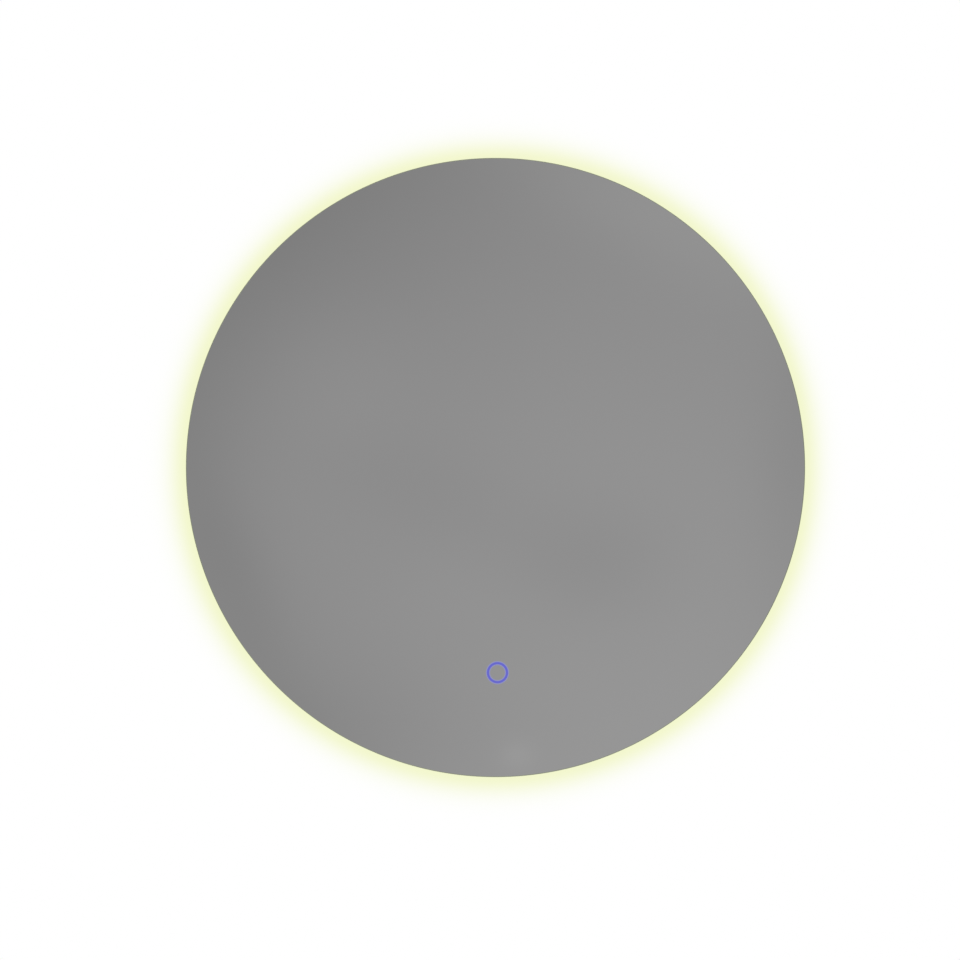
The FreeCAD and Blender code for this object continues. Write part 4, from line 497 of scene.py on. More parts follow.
class Finish(Tree):
    """A material on its way; its constants go straight onto the shader's own sockets."""

    def __init__(self, name, **constants):
        self.made = bpy.data.materials.new(name)
        self.made.use_nodes = True
        super().__init__(self.made.node_tree)
        self.shader = self.tree.nodes["Principled BSDF"].inputs
        self.put(**constants)

    def put(self, **looks):
        """Feeds the shader; gives the material."""
        for word, value in looks.items():
            self.feed(self.shader[word.replace("_", " ")], value)
        return self.made

    def bump(self, height, distance, strength=1.0):
        node = self.add("Bump", {"Height": height, "Distance": distance, "Strength": strength})
        self.put(Normal=node.outputs[0])

    def rubbed(self, tone, reach, share, bare, grain=900.0):
        """The tone, with its sharp corners worn toward a bare colour."""
        worn = self.effect("edge_wear", Reach=reach, Grain=grain)["Mask"]
        return self.blend(worn * share, tone, bare)

    def dusted(self, tone, amount, grey, patch=40.0):
        """The tone under dust, and the dust's mask."""
        film = self.effect("dust", Amount=amount, Patch=patch)["Mask"]
        return self.blend(film, tone, grey), film

    def from_touch_ring(self, pane):
        """How far a point is from the middle of the lit ring's band."""
        radius = self.effect("axis_place", Centre=RING_CENTRE[:])["Radius"]
        return abs(radius - (RING_OUTER - pane.ring_width / 2))

    def lines_round_axis(self, lines, stroke):
        """Brushed lines that run round the mirror's axis."""
        around = self.effect("axis_place", Centre=AXIS[:])
        place = self.join(around["Turn"], around["Depth"], around["Radius"])
        return self.effect("brushed", Place=place, Lines=lines, Length=stroke)


def silvered_glass(pane):
    """Silver behind clear glass, with a wiped pane's faint film and the touch ring's blue glow
    painted on it as emission.
    """
    skin = Finish("silvered_glass", Metallic=1.0, Emission_Strength=1.0)
    film = skin.noise(skin.vector("MULTIPLY", skin.object_place(), (3.0, 1.0, 9.0)), 1.6, 4.0, 0.6)
    # Painted glow beside the ring: emission that fades with distance from the ring's band.
    edge = pane.ring_width / 2
    off = skin.from_touch_ring(pane)
    glow = skin.spread(off, edge, edge + pane.glow_reach, 1.0, 0.0, smooth=True)
    return skin.put(
        Base_Color=skin.shades(film, pane.silver, 1.0, 0.985),
        Roughness=skin.spread(film, 0.45, 0.75, 0.0, 0.012),
        Emission_Color=skin.blend(glow, BLACK, pane.touch_glow[:]))


def ground_glass(name, tint, low, high):
    """Glass that a wheel has ground along the rim; it is polished where low and high are small."""
    skin = Finish(name, Metallic=0.0)
    lines = skin.lines_round_axis(5000.0, 200.0)
    skin.bump(lines["Height"], 0.02 * MM, 0.5)
    return skin.put(
        Base_Color=skin.shades(lines["Tone"], tint, 0.86, 1.12),
        Roughness=skin.spread(lines["Tone"], 0.3, 0.7, low, high))


def backing_paint(pane):
    """Two coats of grey paint, poured on: a soft ripple and a few dust specks."""
    skin = Finish("backing_paint")
    place = skin.object_place()
    ripple = skin.noise(place, 420.0)
    drift = skin.noise(skin.vector("MULTIPLY", place, (4.0, 4.0, 18.0)), 1.0, 3.0)
    specks = skin.spread(skin.noise(place, 1500.0, 1.0), 0.70, 0.76)
    skin.bump(ripple, 0.05 * MM, 0.6)
    paint = skin.shades(drift, pane.paint, 0.92, 1.10)
    return skin.put(
        Base_Color=skin.blend(specks * 0.5, paint, PAINT_SPECKS),
        Roughness=skin.spread(ripple, 0.3, 0.7, 0.34, 0.46))


def sealant_skin(pane):
    """Cured sealant, with the slow wave of a hand-laid bead."""
    skin = Finish("sealant", Subsurface_Weight=0.05)
    wave = skin.noise(skin.object_place(), 160.0, 3.0)
    skin.bump(wave, 0.2 * MM, 0.5)
    return skin.put(
        Base_Color=skin.shades(wave, pane.sealant, 0.85, 1.1),
        Roughness=skin.spread(wave, 0.3, 0.7, 0.28, 0.44))


def touch_light(pane):
    """Blue light through the etched ring, paler toward both of its edges."""
    skin = Finish("touch_light", Roughness=0.5, Emission_Strength=1.0, Specular_IOR_Level=0.0)
    width = pane.ring_width
    edge = skin.spread(skin.from_touch_ring(pane), width * 0.22, width * 0.5, smooth=True)
    speckle = skin.noise(skin.object_place(), 2500.0)
    light = skin.blend(edge, pane.touch_core[:], pane.touch_edge[:])
    return skin.put(
        Base_Color=skin.blend(speckle, (0.006, 0.006, 0.02), (0.012, 0.012, 0.03)),
        Emission_Color=skin.blend(speckle * 0.10, light, BLACK))


def opal_cover(halo):
    """Lit opal plastic: brighter over each lamp, dimmer toward its edges."""
    skin = Finish("opal_cover", Roughness=0.4, Emission_Strength=halo.cover_strength)
    around = skin.effect("axis_place", Centre=AXIS[:])
    spot = skin.math("COSINE", around["Turn"] * (2 * math.pi * math.pi / LAMP_STEP)) * -0.5 + 0.5
    low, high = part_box("led_diffuser")
    off = abs(around["Depth"] - (low.y + high.y) / 2)
    middle = skin.spread(off, (high.y - low.y) / 2, 0.0, smooth=True)
    glow = spot * middle * 0.16 + (middle * 0.22 + 0.62)
    return skin.put(
        Base_Color=skin.blend(middle, (0.34, 0.33, 0.29), (0.26, 0.25, 0.22)),
        Emission_Color=skin.shades(glow, halo.cover, 0.25, 1.0))


def galvanised(name, zinc, size, seed, bright=1.0):
    """Hot-dip zinc on sheet steel, rubbed on its corners."""
    skin = Finish(name, Metallic=1.0)
    crystal = skin.effect("spangle", Size=size, Seed=seed)
    tone = skin.shades(skin.spread(crystal["Tone"], 0.15, 0.85), zinc, 0.76 * bright, 1.22 * bright)
    tone = skin.rubbed(tone, 0.5 * MM, 0.6, (0.80, 0.80, 0.80))
    tone, film = skin.dusted(tone, 0.35, DUST_ON_ZINC, 25.0)
    skin.bump(crystal["Height"], 0.03 * MM, 0.6)
    rough = skin.spread(crystal["Gloss"], 0.0, 1.0, 0.30, 0.46)
    return skin.put(Base_Color=tone, Roughness=film * 0.35 + rough)


def anodised_ring(finishes):
    """Satin anodised aluminium, brushed round the ring."""
    skin = Finish("anodised_ring", Metallic=1.0)
    lines = skin.lines_round_axis(4200.0, 45.0)
    tone = skin.shades(lines["Tone"], finishes.aluminium, 0.84, 1.10)
    tone = skin.rubbed(tone, 0.4 * MM, 1.0, (0.90, 0.90, 0.90))
    tone, film = skin.dusted(tone, 0.4, DUST_ON_SATIN, 30.0)
    skin.bump(lines["Height"], 0.015 * MM, 0.7)
    rough = skin.spread(lines["Tone"], 0.3, 0.7, 0.26, 0.38)
    return skin.put(Base_Color=tone, Roughness=film * 0.3 + rough)


def plain_metal(name, tint, roughness, lines=2500.0, stroke=800.0, streaks=0.3):
    """Turned, drawn or plated metal; streaks is the share of its tone that the marks give."""
    skin = Finish(name, Metallic=1.0)
    place = skin.object_place()
    marks = skin.effect("brushed", Place=place, Lines=lines, Length=stroke)
    mixed = marks["Tone"] * streaks + skin.noise(place, 700.0, 3.0) * (1.0 - streaks)
    tone = skin.shades(skin.spread(mixed, 0.3, 0.7), tint, 0.84, 1.08)
    skin.bump(marks["Height"], 0.01 * MM, 0.5)
    return skin.put(
        Base_Color=skin.rubbed(tone, 0.2 * MM, 0.5, (0.85, 0.84, 0.82), 1500.0),
        Roughness=skin.spread(marks["Tone"], 0.25, 0.75, roughness * 0.8, roughness * 1.25))


def plastic(name, tint, roughness=0.38, dusty=0.45):
    """A moulded part: fine grain, faint flow marks, rubbed corners and dust on what faces up."""
    skin = Finish(name)
    grain = skin.effect("moulded")
    tone = skin.shades(grain["Tone"], tint, 0.93, 1.05)
    tone = skin.rubbed(tone, 0.45 * MM, 0.35, darker(tint, 0.75))
    tone, film = skin.dusted(tone, dusty, DUST_ON_PLASTIC)
    skin.bump(grain["Height"], 0.03 * MM, 0.6)
    rough = skin.spread(grain["Gloss"], 0.3, 0.7, roughness * 0.85, roughness * 1.2)
    return skin.put(Base_Color=tone, Roughness=film * 0.4 + rough)


def soft_skin(name, tint, roughness, cells=3200.0, depth=0.03 * MM):
    """Rubber, or foam where the cells are larger and deeper."""
    skin = Finish(name, Specular_IOR_Level=0.35)
    pits = skin.effect("open_cells", Cells=cells)
    skin.bump(pits["Height"], depth, 0.7)
    return skin.put(
        Base_Color=skin.dusted(skin.shades(pits["Tone"], tint, 0.65, 1.45), 0.5, DUST_ON_RUBBER)[0],
        Roughness=skin.spread(pits["Tone"], 0.2, 0.8, roughness * 0.9, min(1.0, roughness * 1.15)))


def circuit_board(name, varnish, pitch):
    """Varnish over copper tracks, with bare tinned pads."""
    skin = Finish(name, Roughness=0.3)
    copper = skin.effect("tracks", Pitch=pitch)
    under = skin.shades(copper["Tracks"] * 0.65, varnish, 1.0, 2.2)
    skin.bump(copper["Tracks"], 0.04 * MM)
    return skin.put(Base_Color=skin.blend(copper["Pads"], under, SOLDER), Metallic=copper["Pads"])


def lead_sheath(name, tint, stripe=None):
    """Extruded sheath: faint rings, and on the earth lead a stripe on both sides."""
    skin = Finish(name, Roughness=0.42)
    ripple = skin.noise(skin.object_place(), 1400.0, 3.0)
    tone = skin.shades(ripple, tint, 0.85, 1.08)
    if stripe:
        side = skin.spread(abs(skin.object_normal()[0]), 0.50, 0.56)
        tone = skin.blend(side, tone, skin.shades(ripple, stripe, 0.88, 1.0))
    skin.bump(ripple, 0.03 * MM, 0.5)
    return skin.put(Base_Color=skin.dusted(tone, 0.4, DUST_ON_SATIN)[0])


def lamp_chip(name, package, light, strength):
    """A small package, lit where it has a strength."""
    skin = Finish(name, Roughness=0.35, Emission_Strength=strength)
    grain = skin.noise(skin.object_place(), 3000.0)
    return skin.put(
        Base_Color=skin.shades(grain, package, 1.0, 0.85),
        Emission_Color=skin.shades(grain, light, 1.0, 0.8))


def clear_guide():
    skin = Finish("clear_guide", Metallic=0.0, Transmission_Weight=1.0, IOR=1.49)
    grain = skin.noise(skin.object_place(), 1800.0)
    return skin.put(
        Base_Color=skin.blend(grain, (0.90, 0.93, 0.95), (0.97, 0.98, 0.99)),
        Roughness=skin.spread(grain, 0.3, 0.7, 0.05, 0.16))


# ---- pieces ----

def give(node, material):
    """A CAD piece takes a finish on all of its slots."""
    for slot in frame["nodes"][node].material_slots:
        slot.material = material


def placed(name, data):
    """A new object of this data, in the scene."""
    item = bpy.data.objects.new(name, data)
    bpy.context.scene.collection.objects.link(item)
    return item


def new_piece(name, mesh, materials, body="mirror", replaced=None):
    """A piece made from a bmesh, riding on a body."""
    data = bpy.data.meshes.new(name)
    bmesh.ops.recalc_face_normals(mesh, faces=mesh.faces)
    mesh.to_mesh(data)
    mesh.free()
    if "custom_normal" in data.attributes:
        data.attributes.remove(data.attributes["custom_normal"])
    for face in data.polygons:
        face.use_smooth = True
    data.set_sharp_from_angle(angle=CREASE_ANGLE)
    for material in materials:
        data.materials.append(material)
    piece = placed(name, data)
    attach(piece, body)
    if replaced:
        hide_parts(replaced)
    return piece


def ring_loop(mesh, centre, radius, level, steps, upright=False):
    """Points round an axis along Y, or along Z where upright; the radius may depend on the turn."""
    loop = []
    for step in range(steps):
        turn = 2 * math.pi * step / steps
        reach = radius(turn) if callable(radius) else radius
        across = centre.x + reach * math.cos(turn)
        rise = reach * math.sin(turn)
        place = (across, centre.y + rise, level) if upright else (across, level, centre.z + rise)
        loop.append(mesh.verts.new(place))
    return loop


def skin_between(mesh, first, second, index=0):
    for step in range(len(first)):
        after = (step + 1) % len(first)
        corners = (first[step], first[after], second[after], second[step])
        mesh.faces.new(corners).material_index = index


def turned(mesh, centre, outline, steps, index=0, closed=True, upright=False):
    """The outline of (radius, level) turned about an axis; gives its loops."""
    loops = [ring_loop(mesh, centre, radius, level, steps, upright) for radius, level in outline]
    pairs = list(zip(loops, loops[1:]))
    if closed:
        pairs.append((loops[-1], loops[0]))
    for first, second in pairs:
        skin_between(mesh, first, second, index)
    return loops


def fill_between(mesh, outer, inner):
    """The flat face between two loops."""
    edges = []
    for loop in (outer, inner):
        for step, vert in enumerate(loop):
            after = loop[(step + 1) % len(loop)]
            edges.append(mesh.edges.get((vert, after)) or mesh.edges.new((vert, after)))
    bmesh.ops.triangle_fill(mesh, use_beauty=True, edges=edges)


def rounded_rectangle(mesh, low, high, depth, radius):
    """Points round a rectangle that faces along Y, with its corners rounded."""
    loop = []
    corners = [(high.x, high.z), (low.x, high.z), (low.x, low.z), (high.x, low.z)]
    for quarter, (across, up) in enumerate(corners):
        centre_x = across - math.copysign(radius, across - low.x - radius)
        centre_z = up - math.copysign(radius, up - low.z - radius)
        for step in range(ARC_STEPS + 1):
            turn = math.pi / 2 * (quarter + step / ARC_STEPS)
            loop.append(mesh.verts.new((
                centre_x + radius * math.cos(turn), depth, centre_z + radius * math.sin(turn))))
    return loop


def sink_panel(mesh):
    """Sinks a soft-edged panel into the widest flat face toward the wall."""
    face = max(
        (face for face in mesh.faces if face.normal.y > 0.9), key=lambda face: face.calc_area())
    outer = list(face.verts)
    level = face.calc_center_median().y
    low = Vector([min(vert.co[axis] for vert in outer) for axis in range(3)])
    high = Vector([max(vert.co[axis] for vert in outer) for axis in range(3)])
    bmesh.ops.delete(mesh, geom=[face], context="FACES_ONLY")
    loops = []
    for slide, drop in PANEL_EDGE:
        border = PANEL_BORDER + slide * PANEL_DEPTH
        inset = Vector((border, 0, border))
        radius = PANEL_CORNER - slide * PANEL_DEPTH
        depth = level - drop * PANEL_DEPTH
        loops.append(rounded_rectangle(mesh, low + inset, high - inset, depth, radius))
    fill_between(mesh, outer, loops[0])
    for first, second in zip(loops, loops[1:]):
        skin_between(mesh, first, second)
    mesh.faces.new(loops[-1])


def round_edges(mesh, width, steps, test=None):
    """Rounds the sharp edges, or those whose two ends pass a test."""
    edges = [edge for edge in mesh.edges
             if len(edge.link_faces) == 2 and edge.calc_face_angle() > SHARP_ANGLE
             and (test is None or test(*(vert.co for vert in edge.verts)))]
    bmesh.ops.bevel(mesh, geom=edges, offset=width, offset_type="OFFSET", segments=steps,
                    profile=0.5, affect="EDGES", clamp_overlap=True)


def round_clip_tops(mesh):
    """Crowns each cable clip: the edges of its top are rounded more than the rest."""
    tops = [face.calc_center_median().y for face in mesh.faces
            if face.normal.y > 0.99 and face.calc_area() > 10 * MM * MM]
    round_edges(mesh, 1.3 * MM, 4, lambda first, second: any(
        abs(first.y - top) + abs(second.y - top) < 0.01 * MM for top in tops))


def rounded_copy(node, material, width=0.3 * MM, steps=3, before=None, after=None):
    """A copy of a CAD piece with its sharp edges rounded, shown in its place.

    Before and after are functions that shape the mesh before or after the edges are rounded.
    """
    source = frame["nodes"][node]
    mesh = bmesh.new()
    mesh.from_mesh(source.data)
    bmesh.ops.remove_doubles(mesh, verts=mesh.verts, dist=0.001 * MM)
    bmesh.ops.dissolve_limit(
        mesh, angle_limit=math.radians(0.5), verts=mesh.verts, edges=mesh.edges)
    if before:
        before(mesh)
    round_edges(mesh, width, steps)
    if after:
        after(mesh)
    body = source.parent.name.removeprefix(BODY_PREFIX)
    piece = new_piece(node + "_finished", mesh, [material], body, node)
    piece.modifiers.new("even_shading", "WEIGHTED_NORMAL").keep_sharp = True


def make_pane(pane):
    """The pane: a mirror front with ground edges and a shallow groove for the touch ring."""
    mesh = bmesh.new()
    groove = GLASS_FRONT + pane.etch
    ring_inner = RING_OUTER - pane.ring_width
    rim = [ring_loop(mesh, AXIS, radius, depth, pane.steps) for radius, depth in (
        (PANE_RADIUS - pane.arris, GLASS_FRONT), (PANE_RADIUS, GLASS_FRONT + pane.arris),
        (PANE_RADIUS, GLASS_BACK - pane.arris), (PANE_RADIUS - pane.arris, GLASS_BACK))]
    for first, second, index in zip(rim, rim[1:], (1, 2, 1)):
        skin_between(mesh, first, second, index)
    ring = turned(mesh, RING_CENTRE, [
        (RING_OUTER, GLASS_FRONT), (RING_OUTER, groove), (ring_inner, groove),
        (ring_inner, GLASS_FRONT)], pane.steps // 4, index=1, closed=False)
    fill_between(mesh, rim[0], ring[0])
    mesh.faces.new(ring[-1])
    mesh.faces.new(rim[-1]).material_index = 2
    # The ground arris finish holds painted yellow halo light in its colour.
    new_piece("mirror_pane", mesh, [
        silvered_glass(pane), ground_glass("ground_arris", pane.ground, 0.22, 0.42),
        ground_glass("polished_edge", pane.edge, 0.06, 0.16)], replaced="mirror_glass")


def make_touch_ring(pane):
    """The lit ring, a low dome that fills the groove."""
    half = pane.ring_width / 2 - HAIR
    middle = RING_OUTER - pane.ring_width / 2
    rear = GLASS_FRONT + pane.etch - HAIR
    rise = rear - GLASS_FRONT - HAIR
    dome = [(middle + half * math.cos(turn), rear - rise * math.sin(turn) ** 0.5)
            for turn in (math.pi * step / ARC_STEPS for step in range(ARC_STEPS + 1))]
    mesh = bmesh.new()
    turned(mesh, RING_CENTRE, dome, pane.steps // 4)
    new_piece("touch_ring", mesh, [touch_light(pane)])


def make_sealant(pane):
    """The bead that fills the gap under the ring frame's lip, laid by hand."""
    def plain(reach):
        return LIP_RADIUS + reach * MM

    def waved(reach):
        return lambda turn: plain(
            reach + 0.16 * math.sin(23 * turn) + 0.10 * math.sin(57 * turn + 1.0))

    base = BACKING_REAR + HAIR
    lip = FRAME_LOW.y
    mesh = bmesh.new()
    turned(mesh, AXIS, [
        (plain(-2.0), base), (waved(2.0), base), (waved(1.7), lip), (waved(1.1), lip + 0.4 * MM),
        (waved(0.45), lip + 0.8 * MM), (plain(0.05), lip + 1.0 * MM), (plain(0.05), lip - HAIR),
        (plain(-2.0), lip - HAIR)], pane.steps)
    new_piece("sealant_bead", mesh, [sealant_skin(pane)])


def make_gland_nut(material):
    """The gland's nut: flats for a spanner, then a ribbed grip that narrows to the cord hole."""
    low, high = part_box("gland_nut")
    flat = (high.y - low.y) / 2
    ribs = 24

    def hexagon(sink):
        return lambda turn: min((flat - sink / 2) / math.cos(turn % (math.pi / 3) - math.pi / 6),
                                (flat - sink) / math.cos(math.pi / 6))

    def ribbed(sink):
        return lambda turn: flat - sink - 0.35 * MM * (0.5 - 0.5 * math.cos(ribs * turn)) ** 2

    mesh = bmesh.new()
    turned(mesh, (low + high) / 2, [
        (6.1 * MM, high.z), (6.1 * MM, low.z + 2 * MM), (3.6 * MM, low.z + 2 * MM),
        (3.6 * MM, low.z + 0.3 * MM), (3.9 * MM, low.z), (flat - 1.4 * MM, low.z),
        (flat - 0.7 * MM, low.z + 0.35 * MM), (ribbed(0.1 * MM), low.z + 1.1 * MM),
        (ribbed(0.0), low.z + 4.4 * MM), (hexagon(0.6 * MM), low.z + 4.7 * MM),
        (hexagon(0.0), low.z + 5.2 * MM), (hexagon(0.0), high.z - 0.5 * MM),
        (hexagon(0.6 * MM), high.z)], 12 * ribs, upright=True)
    new_piece("ribbed_gland_nut", mesh, [material], replaced="gland_nut")


# ---- operators ----

class MIRROR_OT_pane(bpy.types.Operator):
    """Make the pane, its lit touch ring and the sealant behind it"""
    bl_idname = "mirror.pane"
    bl_label = "Pane and Touch Ring"

    def execute(self, context):
        pane = context.scene.mirror_pane
        make_pane(pane)
        make_touch_ring(pane)
        make_sealant(pane)
        give("silver_backing", backing_paint(pane))
        return {"FINISHED"}


class MIRROR_OT_ring_frame(bpy.types.Operator):
    """Finish the ring frame with its joiner, bush, pads and tape"""
    bl_idname = "mirror.ring_frame"
    bl_label = "Ring Frame"

    def execute(self, context):
        finishes = context.scene.mirror_finish
        give("frame_ring", anodised_ring(finishes))
        give("frame_joiner", plain_metal("mill_aluminium", finishes.aluminium, 0.34))
        give("joiner_screws", plain_metal("joiner_screw_steel", finishes.screw, 0.28))
        rubber = soft_skin("frame_rubber", finishes.rubber, 0.6)
        give("frame_bush", rubber)
        rounded_copy("wall_bumpers", rubber, 0.4 * MM, 2)
        give("bonding_tape", soft_skin("bonding_tape_foam", TAPE_FOAM, 0.8, 2600.0, 0.05 * MM))
        return {"FINISHED"}


class MIRROR_OT_halo_light(bpy.types.Operator):
    """Finish the light strip and its opal cover"""
    bl_idname = "mirror.halo_light"
    bl_label = "Halo Light"

    def execute(self, context):
        give("led_diffuser", opal_cover(context.scene.mirror_halo))
        give("led_strip", circuit_board("strip_board", STRIP_VARNISH, 4 * MM))
        give("led_chips", lamp_chip("lamp_chips", LAMP_PACKAGE, LAMP_LIGHT, 1.5))
        give("strip_resistors", lamp_chip("chip_resistors", RESISTOR_GLAZE, BLACK, 0.0))
        nylon = plastic("connector_nylon", context.scene.mirror_finish.nylon)
        rounded_copy("strip_connector", nylon, steps=2)
        return {"FINISHED"}


class MIRROR_OT_back_plate(bpy.types.Operator):
    """Finish the back plate with its seal, screws, grommets and blank plate"""
    bl_idname = "mirror.back_plate"
    bl_label = "Back Plate"

    def execute(self, context):
        finishes = context.scene.mirror_finish
        give("chassis_plate", galvanised("plate_zinc", finishes.zinc, 9 * MM, 0.0))
        give("plate_seal", soft_skin("seal_foam", finishes.foam, 0.85, 1800.0, 0.08 * MM))
        rounded_copy("plate_screws", plain_metal("plate_screw_zinc", finishes.screw, 0.26))
        rubber = soft_skin("grommet_rubber", finishes.rubber, 0.55)
        rounded_copy("plate_grommets", rubber, 0.35 * MM)
        blank = plain_metal(
            "blank_plate", PLATE_METAL, 0.34, lines=1600.0, stroke=12.0, streaks=1.0)
        rounded_copy("rating_label", blank, 0.08 * MM, 2)
        return {"FINISHED"}


class MIRROR_OT_driver(bpy.types.Operator):
    """Finish the driver: its case, its circuit and its screws"""
    bl_idname = "mirror.driver"
    bl_label = "Driver"

    def execute(self, context):
        finishes = context.scene.mirror_finish
        case = plastic("driver_case", finishes.case)
        rounded_copy("driver_base", case, 0.5 * MM)
        rounded_copy("driver_cover", case, 0.4 * MM)
        screw = plain_metal("driver_screw_zinc", finishes.screw, 0.26)
        rounded_copy("driver_screws", screw)
        rounded_copy("driver_cover_screws", screw, 0.15 * MM, 2)
        give("driver_board", circuit_board("driver_varnish", finishes.board, 3 * MM))
        give("driver_transformer", plastic("transformer_tape", TRANSFORMER_TAPE, 0.3))
        give("driver_capacitors", plastic("capacitor_sleeve", CAPACITOR_SLEEVE, 0.3))
        give("lead_bushings", soft_skin("bushing_rubber", finishes.rubber, 0.55))
        return {"FINISHED"}


class MIRROR_OT_terminal_box(bpy.types.Operator):
    """Finish the terminal box with its lid, block and cord gland"""
    bl_idname = "mirror.terminal_box"
    bl_label = "Terminal Box"

    def execute(self, context):
        finishes = context.scene.mirror_finish
        box = plastic("terminal_box_plastic", finishes.box, 0.42)
        rounded_copy("terminal_box", box, 0.4 * MM)
        rounded_copy("terminal_box_lid", box, after=sink_panel)
        give("lid_hinge_pin", plain_metal("hinge_pin_steel", PIN_STEEL, 0.2))
        rounded_copy("terminal_block", plastic("block_nylon", finishes.nylon, 0.34), steps=2)
        give("terminal_screws", plain_metal("terminal_brass", finishes.brass, 0.28))
        screw = plain_metal("box_screw_zinc", finishes.screw, 0.26)
        rounded_copy("terminal_box_screws", screw)
        nylon = plastic("gland_nylon", finishes.gland, 0.40, dusty=0.3)
        for node in ("gland_body", "gland_locknut"):
            rounded_copy(node, nylon, 0.4 * MM)
        make_gland_nut(nylon)
        give("gland_seal", soft_skin("gland_rubber", finishes.rubber, 0.6))
        return {"FINISHED"}


class MIRROR_OT_touch_switch(bpy.types.Operator):
    """Finish the touch switch behind the lit ring"""
    bl_idname = "mirror.touch_switch"
    bl_label = "Touch Switch"

    def execute(self, context):
        finishes = context.scene.mirror_finish
        give("sensor_housing", plastic("switch_housing", finishes.gland, 0.45))
        give("sensor_foam", soft_skin("switch_foam", finishes.foam, 0.85, 2600.0, 0.06 * MM))
        give("sensor_board", circuit_board("switch_varnish", finishes.board, 2.2 * MM))
        light = context.scene.mirror_pane.touch_core
        give("sensor_leds", lamp_chip("switch_lamps", SWITCH_LAMP, light, 1.2))
        give("sensor_light_guide", clear_guide())
        give("touch_electrode", plain_metal("electrode_copper", finishes.copper, 0.3))
        return {"FINISHED"}


class MIRROR_OT_hanging(bpy.types.Operator):
    """Finish the wall rail and the hooked bracket"""
    bl_idname = "mirror.hanging"
    bl_label = "Rail and Bracket"

    def execute(self, context):
        zinc = context.scene.mirror_finish.zinc
        rounded_copy("wall_rail", galvanised("rail_zinc", zinc, 5 * MM, 3.0), 0.35 * MM)
        bracket = galvanised("bracket_zinc", zinc, 5 * MM, 7.0, 1.06)
        rounded_copy("hanger_bracket", bracket, steps=2)
        give("hanger_rivets", plain_metal("rivet_aluminium", RIVET_METAL, 0.24))
        return {"FINISHED"}


class MIRROR_OT_wiring(bpy.types.Operator):
    """Finish the leads, their clips and the earth point"""
    bl_idname = "mirror.wiring"
    bl_label = "Wiring"

    def execute(self, context):
        finishes = context.scene.mirror_finish
        sheath = lead_sheath("lead_sheath", finishes.lead)
        give("driver_output_lead", sheath)
        give("strip_lead", sheath)
        give("supply_link_lead", lead_sheath("supply_sheath", SUPPLY_SHEATH))
        give("earth_lead", lead_sheath("earth_sheath", EARTH_GREEN, EARTH_YELLOW))
        give("earth_terminal", plain_metal("tinned_copper", TINNED_COPPER, 0.25))
        rounded_copy("earth_screw", plain_metal("earth_screw_brass", finishes.brass, 0.26))
        nylon = plastic("clip_nylon", finishes.nylon)
        rounded_copy("cable_clips", nylon, 0.25 * MM, 2, before=round_clip_tops)
        return {"FINISHED"}


# ---- stage ----

def plane(name, corners, material):
    data = bpy.data.meshes.new(name)
    data.from_pydata(corners, [], [tuple(range(len(corners)))])
    data.materials.append(material)
    piece = placed(name, data)
    return piece


def emptied(owner):
    """The cleared node tree of a material or a world."""
    owner.use_nodes = True
    owner.node_tree.nodes.clear()
    return Tree(owner.node_tree)


def shader_mix(tree, factor, first, second):
    """Puts out the first shader where the factor is 0 and the second where it is 1."""
    mixed = tree.add("MixShader", {0: factor, 1: first.outputs[0], 2: second.outputs[0]})
    tree.add("OutputMaterial", {"Surface": mixed.outputs[0]})


def wall_paint(halo):
    """A white wall with the halo light's glow painted on it as emission, not cast by the strip;
    from behind it is clear.
    """
    made = bpy.data.materials.new("wall_paint")
    tree = emptied(made)
    place = tree.add("TexCoord", object=frame["bodies"]["mirror"]).outputs["Object"]
    across, _, up = tree.split(tree.vector("SUBTRACT", place, AXIS[:]))
    radius = tree.math("SQRT", across * across + up * up)
    # Painted glow: the halo's light on the wall, coloured by distance from the mirror's axis.
    near = tree.spread(radius, LIP_RADIUS, halo.wall_radius - 3 * MM, 1.0, 0.0, smooth=True)
    past = tree.math("MAXIMUM", radius - halo.wall_radius, 0.0)
    share = tree.math("POWER", past / halo.wall_reach, halo.wall_fall)
    glow = tree.math("EXPONENT", share * -1.0)
    tint = tree.blend(near, halo.wall_tint[:], halo.wall_near[:])
    light = tree.add("Emission", {"Color": tree.blend(glow, WHITE, tint), "Strength": 1.0})
    behind = tree.add("NewGeometry").outputs["Backfacing"]
    shader_mix(tree, behind, light, tree.add("BsdfTransparent"))
    return made


def floor_paint(stage):
    """Pale floor that fades to white, and keeps a soft shadow in its middle."""
    made = bpy.data.materials.new("floor_paint")
    tree = emptied(made)
    place = tree.object_place()
    distance = tree.vector("LENGTH", tree.vector("MULTIPLY", place, (1.0, 1.0, 0.0)))
    reach = stage.floor_radius
    rim = tree.spread(distance, reach * 0.35, reach * 0.95, 0.45, 1.0, smooth=True)
    tone = tree.blend(tree.noise(place, 30.0, 4.0), (0.90, 0.90, 0.90), (0.93, 0.93, 0.93))
    white = tree.add("Emission", {"Color": WHITE, "Strength": 1.0})
    shader_mix(tree, rim, tree.add("BsdfDiffuse", {"Color": tone}), white)
    return made


